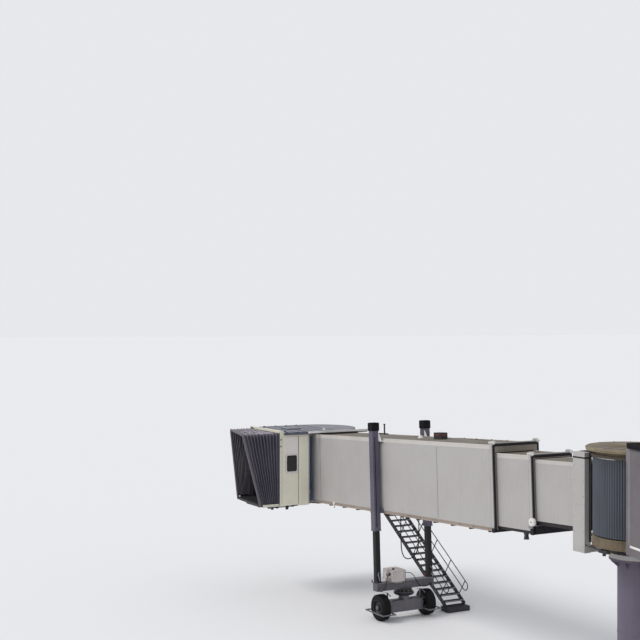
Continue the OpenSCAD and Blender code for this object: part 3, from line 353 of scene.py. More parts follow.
# Free cables: the routes are those of the part, in metres
LOOP_D = 0.045
LOOP_ROUTE = [(13.2, 0.49, 4.48), (13.2, 0.49, 4.36), (13.2, 0.49, 4.2), (13.2, 0.489, 3.98), (13.2, 0.487, 3.74),
              (13.2, 0.483, 3.5), (13.2, 0.475, 3.27), (13.2, 0.456, 3.06), (13.2, 0.415, 2.87), (13.2, 0.34, 2.72),
              (13.2, 0.23, 2.63), (13.2, 0.11, 2.6), (13.2, -0.01, 2.61), (13.2, -0.13, 2.66), (13.2, -0.24, 2.75),
              (13.2, -0.325, 2.88), (13.2, -0.38, 3.05), (13.2, -0.405, 3.26), (13.2, -0.415, 3.5),
              (13.2, -0.42, 3.76), (13.2, -0.42, 4.01), (13.2, -0.42, 4.25), (13.2, -0.42, 4.48)]
CABLE_D = 0.03
NEAR_ROUTE = [(13.5, 0.8, 1.93), (13.5, 0.86, 1.93), (13.498, 0.915, 1.915), (13.495, 0.96, 1.875),
              (13.492, 0.99, 1.815), (13.49, 1.01, 1.74), (13.488, 1.022, 1.66), (13.487, 1.032, 1.58),
              (13.486, 1.045, 1.5), (13.485, 1.068, 1.425), (13.485, 1.108, 1.37), (13.485, 1.16, 1.34),
              (13.485, 1.205, 1.331), (13.485, 1.25, 1.33)]
FAR_ROUTE = [(13.5, 0.16, 1.95), (13.5, 0.11, 1.95), (13.497, 0.05, 1.953), (13.493, -0.02, 1.955),
             (13.488, -0.09, 1.948), (13.484, -0.16, 1.93), (13.481, -0.23, 1.895), (13.478, -0.3, 1.84),
             (13.476, -0.36, 1.77), (13.475, -0.415, 1.69), (13.475, -0.465, 1.605), (13.475, -0.515, 1.52),
             (13.475, -0.57, 1.44), (13.475, -0.635, 1.37), (13.475, -0.71, 1.32), (13.475, -0.8, 1.29),
             (13.475, -0.9, 1.278), (13.475, -1.0, 1.28), (13.478, -1.09, 1.298), (13.482, -1.175, 1.325),
             (13.485, -1.215, 1.329), (13.485, -1.25, 1.33)]


def smooth(route, steps=4):
    """Smooth curve through all points of a route."""
    points = [Vector(point) for point in route]
    last = len(points) - 1
    path = []
    for i in range(last):
        a, b, c, d = points[max(i - 1, 0)], points[i], points[i + 1], points[min(i + 2, last)]
        for k in range(steps):
            t = k / steps
            path.append(0.5 * (2 * b + (c - a) * t + (2 * a - 5 * b + 4 * c - d) * t * t
                               + (3 * b - a - 3 * c + d) * t * t * t))
    return path + [points[last]]


def free_cable(name, node, route, diameter, body):
    path = smooth(route)
    shape = Shape()
    shape.tube(path, diameter / 2, 12)
    piece = shape.make(name, body, "cable_rubber")
    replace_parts(piece, node)


free_cable("loop_cable", "cable_loop", LOOP_ROUTE, LOOP_D, "tunnel_c")
free_cable("box_cable_near", "near_cable", NEAR_ROUTE, CABLE_D, "lift")
free_cable("box_cable_far", "far_cable", FAR_ROUTE, CABLE_D, "lift")

# Soft sky that lights the bridge; the camera, mirrors and glass see a pale backdrop
world = bpy.data.worlds.new("sky")
bpy.context.scene.world = world
world.use_nodes = True
sky = world.node_tree
background = sky.nodes["Background"]
background.inputs["Color"].default_value = (0.695, 0.715, 0.75, 1)
backdrop = sky.nodes.new("ShaderNodeBackground")
backdrop.inputs["Color"].default_value = (0.80, 0.81, 0.83, 1)
rays = sky.nodes.new("ShaderNodeLightPath")
blend_sky = sky.nodes.new("ShaderNodeMixShader")
seen = rays.outputs["Is Camera Ray"]
for kind in ("Is Glossy Ray", "Is Transmission Ray"):
    either = sky.nodes.new("ShaderNodeMath")
    either.operation = "MAXIMUM"
    sky.links.new(seen, either.inputs[0])
    sky.links.new(rays.outputs[kind], either.inputs[1])
    seen = either.outputs[0]
for i, socket in enumerate((seen, background.outputs[0], backdrop.outputs[0])):
    sky.links.new(socket, blend_sky.inputs[i])
sky.links.new(blend_sky.outputs[0], sky.nodes["World Output"].inputs[0])

sun_data = bpy.data.lights.new("key_sun", "SUN")
sun_data.energy = 1.5
sun_data.color = (1.0, 0.975, 0.945)
sun_data.angle = radians(24)
key_sun = bpy.data.objects.new("key_sun", sun_data)
key_sun.rotation_euler = Vector((-0.15, -0.64, -0.74)).to_track_quat("-Z", "Y").to_euler()
bpy.context.scene.collection.objects.link(key_sun)

FLOOR_HALF, FLOOR_Z = 1400, -0.003
floor_shape = Shape()
floor_shape.solid([(a * FLOOR_HALF, b * FLOOR_HALF, FLOOR_Z) for a, b in ((-1, -1), (1, -1), (1, 1), (-1, 1))],
                  [(0, 1, 2, 3)])
floor_mesh = bpy.data.meshes.new("floor")
floor_shape.mesh.to_mesh(floor_mesh)
floor_mesh.materials.append(Look("pale_floor", Base_Color=srgb(227, 227, 228), Roughness=0.9).material)
studio_floor = bpy.data.objects.new("floor", floor_mesh)
bpy.context.scene.collection.objects.link(studio_floor)
bpy.context.scene.view_settings.view_transform = "Standard"

# Tunnels: ribbed cladding, roof seams, gutters and seals, in the tunnels' own frame
RIB_PITCH, RIB_SLOPE, SHEET = 0.15, 0.006, 0.003


def ribbed(shape, x0, x1, face, side, z0, z1, high=0.005):
    """Sheet with upright ribs on a wall at y = side * face."""
    outline = [(x0, side * (face - 0.006)), (x0, side * (face + SHEET))]
    count = int((x1 - x0) / RIB_PITCH)
    margin = (x1 - x0 - count * RIB_PITCH) / 2
    for i in range(count):
        start = x0 + margin + i * RIB_PITCH
        for along, out in ((0, 0), (RIB_SLOPE, high), (RIB_PITCH - RIB_SLOPE, high), (RIB_PITCH, 0)):
            outline.append((start + along, side * (face + SHEET + out)))
    outline += [(x1, side * (face + SHEET)), (x1, side * (face - 0.006))]
    shape.prism(outline, "z", z0, z1)


def strip(shape, x0, x1, face, side, z0, z1, out, wear=0):
    """Flat strip that stands out of a wall at y = side * face."""
    shape.side_box(side, (x0, x1), (face - 0.004, face + out), (z0, z1), wear)


def tunnel_trim(name, half, x0, x1, levels, seams, roof_pitch, far_spans=None):
    """Wall cladding with seams, and roof seams with edge flashings, of one tunnel."""
    low, high, top = levels
    walls = Shape(IN_TUNNEL)
    for side in (1, -1):
        spans = far_spans if side < 0 and far_spans else [(x0, x1, low)]
        for start, end, foot in spans:
            ribbed(walls, start + 0.03, end - 0.03, half, side, foot + 0.05, high - 0.05)
            for z0, z1 in ((foot + 0.006, foot + 0.05), (high - 0.05, high - 0.004)):
                strip(walls, start + 0.02, end - 0.02, half, side, z0, z1, 0.009)
        for seam in seams:
            for foot in (foot for start, end, foot in spans if start < seam < end):
                for width, out, wear in ((0.035, 0.010, 0), (0.007, 0.0112, 1)):
                    strip(walls, seam - width, seam + width, half, side, foot + 0.05, high - 0.05, out, wear)
                for k in range(12):
                    level = foot + 0.15 + k * (high - foot - 0.3) / 11
                    for across in (-0.02, 0.02):
                        walls.disc((seam + across, side * (half + 0.010), level), 0.007, 0.006, "y", 0, 6)
    walls.make(name + "_cladding", name, "wall_paint", "wall_paint seal_rubber", angle=20)

    roof = Shape(IN_TUNNEL)
    rise = [(-0.028, -0.004), (-0.02, 0.011), (-0.005, 0.014), (-0.004, 0.03)]
    standing_seam = rise + [(-a, b) for a, b in rise[::-1]]
    flashing = ((-0.055, -0.003), (-0.055, 0.012), (-0.03, 0.022), (0.004, 0.018), (0.008, -0.03), (-0.003, -0.03))
    count = round((x1 - x0) / roof_pitch)
    for i in range(count + 1):
        place = x0 + 0.05 + i * (x1 - x0 - 0.1) / count
        roof.prism([(place + a, top + b) for a, b in standing_seam], "y", 0.03 - half, half - 0.03)
    for side in (1, -1):
        roof.prism([(side * (half + a), top + b) for a, b in flashing], "x", x0 + 0.01, x1 - 0.01)
        for i in range(int((x1 - x0) / 0.6)):
            spot = (x0 + 0.3 + i * 0.6, side * (half + 0.003), (high + top) / 2 - 0.01)
            roof.disc(spot, 0.009, 0.012, "y", 0, 6)
    roof.make(name + "_roof_trim", name, "roof_sheet")


DOOR_START, DOOR_END, DOOR_TOP = 17.23, 18.13, 1.90
tunnel_trim("tunnel_a", A_HALF, 0.08, 13.48, (0.23, 2.26, 2.37), (4.5, 9.0), 2.2)
tunnel_trim("tunnel_b", B_HALF, 2.66, 15.50, (-0.13, 2.37, 2.52), (6.9, 11.2), 2.1)
tunnel_trim("tunnel_c", C_HALF, 4.68, 18.37, (C_LOW, 2.68, 2.82), (8.14, 12.98, 17.62), 1.95,
            [(4.68, DOOR_START - 0.09, C_LOW), (DOOR_START - 0.07, DOOR_END + 0.07, DOOR_TOP + 0.09),
             (DOOR_END + 0.09, 18.37, C_LOW)])

# Sill angles, cross members and cable trays under tunnel C
UNDER_START, UNDER_L, C_BOTTOM = 4.93, 13.12, -0.33
under = Shape(IN_TUNNEL)
for side in (1, -1):
    strip(under, 4.69, 18.29, C_HALF, side, C_LOW - 0.035, C_LOW + 0.002, 0.012)
    for i in range(14):
        spot = (UNDER_START + i * 0.9, side * (C_HALF + 0.004), (C_LOW + C_BOTTOM) / 2)
        under.disc(spot, 0.014, 0.014, "y", 1, 6)
    under.side_box(side, (4.78, 18.2), (0.45 * C_HALF - 0.05, 0.45 * C_HALF + 0.05),
                   (C_BOTTOM - 0.04, C_BOTTOM + 0.004), 1)
for i in range(12):
    x = UNDER_START + i * UNDER_L / 11
    under.box((x - 0.04, 0.02 - C_HALF, C_BOTTOM - 0.055), (x + 0.04, C_HALF - 0.02, C_BOTTOM + 0.004), 1)
under.make("tunnel_c_sill_trim", "tunnel_c", "sill_paint", "sill_paint underframe")


def end_frame_trim(name, x, out_half, in_half, inner_half, inner_low, inner_high, low, high, deck):
    """Flange bolts, rubber seal round the inner tunnel and roller housings of a tunnel's rear end frame, with painted
    shade in bands on its rear face.
    """
    shape = Shape(IN_TUNNEL)
    for side in (1, -1):
        for k in range(9):
            level = low + 0.22 + k * (high - low - 0.5) / 8
            shape.disc((x - 0.003, side * (out_half - 0.045), level), 0.016, 0.014, "x", 0, 6)
            shape.disc((x + 0.06, side * (out_half + 0.003), level), 0.012, 0.01, "y", 0, 6)
        # Roller with its two flanges
        for along, radius, length, sides in ((0, 0.035, 0.34, 16), (-0.085, 0.07, 0.02, 24),
                                             (0.085, 0.07, 0.02, 24)):
            shape.disc((x + 0.06 + along, side * (out_half - 0.06), high + 0.001), radius, length, "x", 2, sides)
        # The first two rows are painted shade on the rear face: a black band in the seal's rubber colour and a grey
        # band beside the inner tunnel
        for start, end, across, levels, wear in (
                (-0.034, -0.019, (in_half + 0.055, out_half - 0.022), (low + 0.02, high - 0.035), 1),
                (-0.030, -0.019, (in_half + 0.001, in_half + 0.055), (low + 0.02, inner_high), 4),
                (-0.025, 0.125, (out_half - 0.03, out_half + 0.006), (low - 0.004, deck), 1),
                (-0.02, 0.02, (out_half - 0.03, out_half + 0.006), (deck, deck + 0.06), 0),
                (-0.012, 0.02, (inner_half + 0.016, in_half + 0.012), (inner_low, inner_high + 0.02), 1)):
            shape.side_box(side, (x + start, x + end), across, levels, wear)
    # Across the rear face: the black bands at the top and bottom are painted shade in the seal's rubber colour, the
    # brown band above the inner tunnel is painted shade, and the last row is the rubber seal over the inner tunnel's
    # roof
    for start, end, reach, z0, z1, wear in (
            (-0.034, -0.019, out_half - 0.03, high - 0.135, high - 0.035, 1),
            (-0.030, -0.019, in_half + 0.05, inner_high + 0.038, high - 0.135, 3),
            (-0.034, -0.019, out_half - 0.03, low + 0.01, inner_low - 0.06, 1),
            (-0.012, 0.02, in_half + 0.012, inner_high + 0.036, inner_high + 0.075, 1)):
        shape.box((x + start, -reach, z0), (x + end, reach, z1), wear)
    for k in range(7):
        across = 0.2 - out_half + k * (2 * out_half - 0.4) / 6
        shape.disc((x - 0.003, across, high - 0.05), 0.016, 0.014, "x", 0, 6)
    shape.make(name + "_end_trim", name, "wall_paint",
               "bare_steel seal_rubber white_fitting weathered_face frame_band", 0.002)


end_frame_trim("tunnel_b", 2.50, 0.95, 0.795, A_HALF, 0.10, 2.37, -0.25, 2.58, -0.02)
end_frame_trim("tunnel_c", 4.52, 1.10, 0.935, B_HALF, -0.20, 2.52, -0.36, 2.91, -0.20)


# Rotunda
def on_ring(radius, angle, z=0.0):
    return Vector((radius * cos(radians(angle)), radius * sin(radians(angle)), z))


def arc_points(radius, start, end, step):
    count = max(2, ceil(abs(end - start) / step))
    return [on_ring(radius, start + (end - start) * k / count).xy[:] for k in range(count + 1)]


def slat_curtain(start, end, radius, low, high, pitch, centre=(0, 0), scallop=0.05, rib=0.026):
    """Curtain of upright round-faced slats along an arc, with a wavy hem and a dark backing."""
    shape = Shape(Matrix.Translation((*centre, 0)))
    count = max(1, round(radians(abs(end - start)) * radius / pitch))
    width = (end - start) / count
    hem = [low + scallop * (0.35 + 0.65 * abs(1 - k / 3)) for k in range(7)] * 2
    for i in range(count):
        front, back = [], []
        for k in range(7):
            t = -1 + k / 3
            angle = start + (i + 0.5) * width + 0.475 * width * t
            front.append(on_ring(radius - 0.028 + rib * (1 - t * t), angle).xy[:])
            back.append(on_ring(radius - 0.036, angle).xy[:])
        outline = front + back[::-1]
        rings = [[(a, b, low + (high - low) * k / 8) for a, b in outline] for k in range(9)]
        rings[0] = [(a, b, level) for (a, b), level in zip(outline, hem)]
        shape.loft(rings)
    backing = arc_points(radius - 0.034, start, end, 3) + arc_points(radius - 0.044, start, end, 3)[::-1]
    shape.loft([[(a, b, low + 0.03 + (high - low - 0.04) * k / 8) for a, b in backing] for k in range(9)], 1)
    return shape


ROT_R, ROT_LOW, ROT_HIGH = 1.34, 5.635, 8.175
for name, start, end, fixed, moved in (("rotunda_near_curtain", 34.5, 128.0, 128.0, 34.5),
                                       ("rotunda_far_curtain", -158.0, -34.5, -158.0, -34.5)):
    curtain = slat_curtain(start, end, ROT_R, ROT_LOW, ROT_HIGH, 0.09)
    curtain = curtain.make(name, None, "curtain_slats", "curtain_slats black_fitting", angle=30)
    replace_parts(curtain, "rotunda_curtains")
    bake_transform(curtain)

trim = Shape()
trim.revolve([(1.345, 5.575), (1.362, 5.575), (1.366, 5.60), (1.362, 5.624), (1.345, 5.624)], steps=128)
trim.collar(1.345, 1.36, 5.31, 5.345, 128)
for k in range(40):
    trim.disc(on_ring(1.355, 4.5 + k * 9, 5.46), 0.012, 0.02, sides=8)
trim.revolve([(1.545, 8.455), (1.567, 8.452), (1.571, 8.47), (1.567, 8.50), (1.535, 8.512)], steps=128, wear=1)
trim.collar(1.30, 1.345, 8.395, 8.412, 96, 1)
for k in range(16):
    trim.tube([on_ring(reach, k * 22.5 + 6, 8.534) for reach in (0.25, 1.50)], 0.012, 8, 1)
trim.disc((0, 0, 8.545), 0.22, 0.04, "z", 1, 40, 0.16)
trim.make("rotunda_trim", "rotunda", "floor_ring_paint", "floor_ring_paint rotunda_roof")

band = Shape()
band.collar(1.352, 1.372, 8.195, 8.285, 128)
band.revolve([(1.368, 8.232), (1.38, 8.236), (1.38, 8.246), (1.368, 8.25)], steps=128)
for k in range(60):
    band.disc(on_ring(1.374, k * 6, 8.215), 0.008, 0.012, "z", 0, 6)
band.make("head_band", "rotunda", "sill_paint", "head_band")

column = Shape()
for z, r in ((4.80, 0.565), (2.5, 0.557)):
    column.collar(0.545, r, z - 0.03, z + 0.03, 96)
for k in range(12):
    for z, radius, length, sides in ((0.055, 0.016, 0.10, 12), (0.062, 0.032, 0.026, 6)):
        column.disc(on_ring(0.77, k * 30 + 15, z), radius, length, "z", 1, sides)
for k in range(8):
    direction = on_ring(1, k * 45 + 22.5)
    across = Vector((-direction.y, direction.x, 0))
    column.loft([[direction * r + across * w + Vector((0, 0, z)) for r, z in
                  ((0.546, 4.60), (0.546, 4.852), (0.80, 4.852), (0.80, 4.82))] for w in (-0.008, 0.008)])
for k in range(16):
    column.disc(on_ring(0.745, k * 22.5, 4.848), 0.024, 0.022, "z", 1, 6)
column.make("column_trim", "rotunda", "column_paint", "column_paint bare_steel")

# Corridor
CORRIDOR_HALF, CORRIDOR_END, CAP_LOW, CAP_TOP = 1.05, 4.35, 8.70, 8.80
hall = Shape(IN_CORRIDOR)
for side in (1, -1):
    ribbed(hall, 1.66, CORRIDOR_END - 0.02, CORRIDOR_HALF, side, 5.66, 8.58, 0.008)
    strip(hall, 1.625, CORRIDOR_END, CORRIDOR_HALF, side, 5.56, 5.635, 0.016, 1)
    for x in (1.40, 1.585):
        for k in range(10):
            hall.disc((x, side * 1.051, 5.8 + k * 0.3), 0.010, 0.010, "y", 0, 6)
    hall.side_box(side, (1.52, CORRIDOR_END), (1.08, 1.12), (CAP_LOW, CAP_TOP), 2)
    # Upright panel that closes the corner up to the curtain's edge
    hall.prism([(1.05, side * 0.80), (1.43, side * 1.065), (1.43, side * 1.045), (1.06, side * 0.788)],
               "z", 5.63, 8.19)
hall.box((1.505, -1.115, CAP_LOW), (1.545, 1.115, CAP_TOP), 2)
for i in range(4):
    hall.box((1.9 + i * 0.7, -1.09, 8.775), (1.93 + i * 0.7, 1.09, 8.797), 2)
hall.make("corridor_trim", "rotunda", "corridor_cladding", "corridor_cladding white_fitting roof_cap", angle=20)

# Portal
POST_Y, POST_FACE = 0.93, 1.06
gate = Shape()
for side in (1, -1):
    gate.side_box(side, (1.195, 1.775), (0.80, 1.068), (8.05, 8.095), 1)
    # Upright flap that closes the gap to the curtains and the floor ring, black as painted shade of the gap
    gate.side_box(side, (1.088, 1.203), (0.85, 0.87), (5.30, 8.22), 4)
    strip(gate, 1.21, 1.76, POST_FACE, side, 5.02, 5.06, 0.01)
    strip(gate, 1.21, 1.76, POST_FACE, side, 6.5, 6.53, 0.008)
    for x in (1.26, 1.71):
        for z in (5.14, 5.62, 6.1, 6.8, 7.3, 7.8):
            gate.disc((x, side * (POST_FACE + 0.002), z), 0.014, 0.014, "y", 2, 6)
    # Box, drum and hose on the post's head
    y = side * POST_Y
    gate.box((1.28, y - 0.09, 8.09), (1.42, y + 0.09, 8.16), 3)
    gate.disc((1.58, y, 8.13), 0.05, 0.08, "z", 3, 20)
    gate.tube([(1.42, y, 8.13), (1.52, y, 8.15), (1.58, y, 8.13)], 0.014, 8, 4)
gate.box((1.22, -0.80, 8.245), (1.75, 0.80, 8.262), 1)
# Lamp on an arm below the floor ring
gate.tube([(1.25, 1.0, 5.20), (0.9, 1.16, 5.225), (0.2, 1.28, 5.225)], 0.022, 8, 4)
gate.box((-0.19, 1.20, 5.16), (0.19, 1.38, 5.265), 4)
gate.disc((0.02, 1.29, 5.12), 0.06, 0.10, "z", 4, 20, 0.05)
gate.make("portal_trim", "portal", "wall_paint", "wall_paint roof_cap bare_steel white_fitting black_fitting", 0.003)

# Wheels
WHEEL_Y, WHEEL_R, WHEEL_HALF = 1.135, 0.55, 0.205
TREAD_R, LUGS = 0.548, 44


def wheel(name, node, side):
    upright = Matrix.Rotation(radians(-90) * side, 4, "X")
    shape = Shape(Matrix.Translation((BOGIE_X, side * WHEEL_Y, WHEEL_R)) @ upright)
    half = WHEEL_HALF
    tyre_profile = [(0.30, -half + 0.012), (0.36, -half), (0.44, -half - 0.004), (0.495, -half + 0.012),
                    (0.527, -half + 0.05), (0.538, -half + 0.085), (0.538, half - 0.085), (0.527, half - 0.05),
                    (0.495, half - 0.012), (0.44, half + 0.004), (0.36, half), (0.30, half - 0.012)]
    shape.revolve(tyre_profile, steps=120)
    pitch = 2 * pi * TREAD_R / LUGS
    wide = 0.40 * pitch
    for k in range(LUGS):
        turn = Matrix.Rotation(2 * pi * k / LUGS, 4, "Z")
        for low, high, skew, shift, edge in ((-0.165, -0.062, 0.012, 0, (0.010, 0)),
                                             (-0.05, 0.05, 0, 0.5 * pitch, (0, 0)),
                                             (0.062, 0.165, -0.012, 0, (0, 0.010))):
            quad = [(shift - wide, low, edge[0]), (shift + wide, low, edge[0]),
                    (shift + wide + skew, high, edge[1]), (shift - wide + skew, high, edge[1])]
            shape.loft([[turn @ Vector((0.532, a, b)) for a, b, drop in quad],
                        [turn @ Vector((0.5495 - drop, a * 0.97, b)) for a, b, drop in quad]])
    for radius in (0.40, 0.47):
        shape.revolve([(radius, half - 0.012), (radius + 0.008, half + 0.005), (radius + 0.016, half - 0.012)],
                      steps=72)
    rim = [(0.13, -0.10), (0.29, -0.12), (0.31, -half + 0.005), (0.325, -half + 0.004), (0.325, half - 0.004),
           (0.31, half + 0.002), (0.298, half - 0.01), (0.29, 0.12), (0.25, 0.085), (0.13, 0.10)]
    shape.revolve(rim, steps=72, wear=1)
    shape.revolve([(0.001, -0.16), (0.135, -0.16), (0.135, 0.13), (0.115, 0.17), (0.07, 0.19), (0.001, 0.19)],
                  steps=48, wear=1)
    for k in range(10):
        shape.disc(on_ring(0.19, k * 36, 0.108), 0.016, 0.04, "z", 2, 6)
        shape.disc(on_ring(0.19, k * 36, 0.096), 0.024, 0.012, "z", 2, 16)
    for k in range(5):
        shape.disc(on_ring(0.245, k * 72 + 36, 0.086), 0.02, 0.01, "z", 3, 16)
    shape.tube([(0.28, 0.0, 0.09), (0.285, 0.0, 0.16), (0.29, 0.0, 0.185)], 0.006, 8, 3)
    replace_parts(shape.make(name, node, "tyre", "tyre rim_paint bare_steel black_fitting"), node)


wheel("near_tyred_wheel", "near_wheel", 1)
wheel("far_tyred_wheel", "far_wheel", -1)

# Cab: curtains, panels, window surrounds, roof edge and fittings, in the cab's own frame
CAB_FLOOR, CAB_TOP, ROOF_TOP = 4.1705, 7.4215, 7.5415
CAB_HALF = 1.55
CURTAIN_R = 1.62
CURTAIN_LOW, CURTAIN_HIGH = 4.265, 7.265
# The near strip wears the strip colour lightened against the cab roof's shade, as painted light
for name, looks, start, end, settings, fixed, moved in (
        ("cab_near_curtain", "cab_strip cab_strip", 136.2, 138.3, (0.0021, (CAB_AXIS.x, 0), 0.01, 0.004),
         138.3, 136.2),
        ("cab_far_curtain", "curtain_slats black_fitting", -138.2, 43.6, (0.09, (CAB_AXIS.x, 0), 0.02),
         -138.2, 43.6)):
    curtain = slat_curtain(start, end, CURTAIN_R, CURTAIN_LOW, CURTAIN_HIGH, *settings)
    curtain = curtain.make(name, None, "curtain_slats", looks)
    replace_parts(curtain, "cab_curtains")
    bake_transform(curtain)


def rounded(x0, x1, z0, z1, radius, steps=5):
    """Outline of a rectangle with round corners."""
    outline = []
    for cx, cz, start in ((x1 - radius, z1 - radius, 0), (x0 + radius, z1 - radius, 90),
                          (x0 + radius, z0 + radius, 180), (x1 - radius, z0 + radius, 270)):
        for k in range(steps + 1):
            angle = radians(start + 90 * k / steps)
            outline.append((cx + radius * cos(angle), cz + radius * sin(angle)))
    return outline


def frame_round(shape, x0, x1, z0, z1, radius, width, side, start, end, wear=0):
    """Flat frame with round corners on a side wall."""
    inside = rounded(x0, x1, z0, z1, radius)
    outside = rounded(x0 - width, x1 + width, z0 - width, z1 + width, radius + width)
    near, far = side * start, side * end
    shape.loft([[(a, near, b), (a, far, b), (c, far, d), (c, near, d)] for (a, b), (c, d) in zip(outside, inside)],
               wear, closed=True)


skin = Shape(IN_CAB)
WIN = (2.04, 2.56, CAB_FLOOR + 1.56, CAB_FLOOR + 2.30)
# Rings round the window: margins at the sides, below and above, corner, width, start, end and look
WIN_RINGS = ((0, 0, 0, 0.08, 0.022, 1.545, 1.557, 3), (-0.004, -0.004, -0.004, 0.076, 0.006, 1.52, 1.5585, 4),
             (0.022, 0.03, 0.022, 0.10, 0.035, 1.545, 1.566, 3),
             (0.057, 0.065, 0.057, 0.13, 0.008, 1.545, 1.5545, 4))
for side in (1, -1):
    for across, below, above, radius, width, start, end, wear in WIN_RINGS:
        frame_round(skin, WIN[0] - across, WIN[1] + across, WIN[2] - below, WIN[3] + above, radius, width, side,
                    start, end, wear)
    skin.side_box(side, (WIN[0] - 0.03, WIN[1] + 0.03), (1.546, 1.562), (WIN[2] - 0.115, WIN[2] - 0.07), 3)
    skin.prism(rounded(2.0, 2.61, WIN[3] + 0.065, 7.33, 0.02), "y", side * 1.546, side * 1.578, 1)
    # Brush strip at the wall's back edge and the dark joint between the panels; the strip's colour is lightened to
    # make up for the cab roof's shade, as painted light
    strip(skin, 1.352, 1.425, CAB_HALF, side, CAB_FLOOR + 0.02, CAB_TOP - 0.02, 0.014, 5)
    strip(skin, 1.948, 1.966, CAB_HALF, side, CAB_FLOOR + 0.02, CAB_TOP - 0.02, 0.005, 4)
    strip(skin, 1.43, 1.945, CAB_HALF, side, CAB_FLOOR - 0.035, CAB_TOP - 0.09, 0.022)
    strip(skin, 2.80, 2.812, CAB_HALF, side, CAB_FLOOR + 0.09, CAB_TOP - 0.06, 0.004, 4)
    # Panel joint with its bead and rivets
    strip(skin, 2.763, 2.807, CAB_HALF, side, CAB_FLOOR + 0.02, CAB_TOP - 0.02, 0.010)
    for k in range(15):
        skin.disc((2.785, side * (CAB_HALF + 0.010), CAB_FLOOR + 0.15 + k * 0.21), 0.008, 0.008, "y", 2, 8)
    strip(skin, 1.97, 2.92, CAB_HALF, side, CAB_FLOOR, CAB_FLOOR + 0.09, 0.012)
    strip(skin, 1.36, 2.92, CAB_HALF, side, CAB_TOP - 0.06, CAB_TOP - 0.004, 0.012)
    # Grab handle with two clamps by the front frame
    skin.tube([(2.86, side * y, z) for y, z in ((1.55, 7.22), (1.60, 7.20), (1.60, 6.92), (1.55, 6.90))],
              0.014, 10, 3)
    for level in (7.21, 6.91):
        skin.side_box(side, (2.825, 2.895), (1.545, 1.585), (level - 0.025, level + 0.025), 4)
    for k in range(14):
        skin.disc((2.86, side * (CAB_HALF + 0.002), CAB_FLOOR + 0.18 + k * 0.23), 0.012, 0.012, "y", 2, 6)
skin.make("cab_panels", "cab", "cab_paint",
          "cab_paint panel_pink bare_steel white_fitting black_fitting cab_strip", 0.002)

eaves = Shape(IN_CAB)
RIM_IN, RIM_OUT = 1.712, 1.742
rim_levels = (ROOF_TOP - 0.115, ROOF_TOP + 0.012)
eaves.prism(arc_points(RIM_OUT, 90, 270, 5) + arc_points(RIM_IN, 90, 270, 5)[::-1], "z", *rim_levels)
for side in (1, -1):
    eaves.side_box(side, (0, 2.80), (RIM_IN, RIM_OUT), rim_levels)
    for k in range(5):
        x = 0.3 + k * 0.58
        eaves.side_box(side, (x, x + 0.07), (1.70, 1.755), (ROOF_TOP - 0.02, ROOF_TOP + 0.03), 1)
for k in range(6):
    eaves.prism([(0.1 + k * 0.5 + a, ROOF_TOP + b) for a, b in
                 ((0, -0.004), (0.01, 0.022), (0.03, 0.022), (0.04, -0.004))], "y", -1.69, 1.69)
eaves.box((1.2, -0.35, ROOF_TOP - 0.004), (1.9, 0.35, ROOF_TOP + 0.05))
eaves.disc((0.4, 1.2, ROOF_TOP + 0.04), 0.07, 0.10, "z", 2, 20, 0.045)
for x, y in ((2.55, 1.35), (2.3, -1.35)):
    eaves.disc((x, y, ROOF_TOP + 0.025), 0.045, 0.07, "z", 1, 16)
eaves.make("cab_roof_trim", "cab", "cab_roof_paint", "cab_roof_paint black_fitting white_fitting", 0.002)

# Edges, bumper, mats and what hangs under the cab's floor; the front is skewed and leans
SKEW, HOOP_FOOT = radians(5.2), 4.2305
MAT_LOW, MAT_TOP = 4.282, 4.2935
RAIL_Z = 5.20
deck = Shape(IN_CAB)


def front_x(y):
    return 3.75 - 0.09 / cos(SKEW) + y * tan(SKEW)


def hoop_x(y, z):
    return 3.70 + y * tan(SKEW) + (z - HOOP_FOOT) * (0.19381 + 0.053014 * y)


for side in (1, -1):
    edge_end = front_x(side * 1.49) - 0.03
    deck.side_box(side, (2.93, edge_end), (1.486, 1.525), (4.155, 4.275), 1)
    deck.side_box(side, (2.94, edge_end - 0.1), (1.486, 1.525), (4.275, 4.296), 2)
    for k in range(4):
        deck.disc((3.0 + k * 0.19, side * 1.527, 4.215), 0.016, 0.012, "y", 3, 6)
    deck.tube([(x, side * y, z) for x, y, z in
               ((1.9, 1.40, 4.13), (2.5, 1.42, 4.105), (3.1, 1.44, 4.115), (3.5, 1.40, 4.14))], 0.028, 10, 4)
    for x, drop in ((2.15, 0.05), (2.42, 0.09), (2.95, 0.07), (3.2, 0.11), (3.36, 0.05)):
        deck.side_box(side, (x, x + 0.10), (1.36, 1.47), (4.13 - drop, 4.165), 4)
    deck.side_box(side, (2.62, 2.92), (1.42, 1.50), (4.125, 4.16), 5)
    deck.disc((2.50, side * 1.44, 4.05), 0.075, 0.13, "z", 4, 20, 0.05)
    deck.disc((2.50, side * 1.44, 3.985), 0.055, 0.02, "z", 5, 20)
bumper = []
for k in range(15):
    y = -1.41 + k * 2.82 / 14
    pinch = 1 - 0.06 * (k % 2)
    bumper.append([(front_x(y) + 0.075 + 0.062 * pinch * cos(a), y, 4.215 + 0.056 * pinch * sin(a))
                   for a in (2 * pi * n / 16 for n in range(16))])
deck.loft(bumper, 2)
for k in range(24):
    x = 1.5 + k * 0.09
    deck.box((x, -1.42, MAT_LOW), (x + 0.082, 1.42, MAT_TOP), 2)
for y in (-1.46, 1.46):
    deck.box((1.4, y - 0.02, 4.285), (3.5, y + 0.02, 4.36), 4)
    # Handrail on its brackets
    deck.tube([(1.45, y * 0.975, RAIL_Z), (2.7, y * 0.975, RAIL_Z)], 0.02, 10, 3)
    for x in (1.6, 2.1, 2.6):
        deck.tube([(x, y * 0.975, RAIL_Z), (x, y * 1.01, RAIL_Z - 0.03)], 0.01, 8, 3)
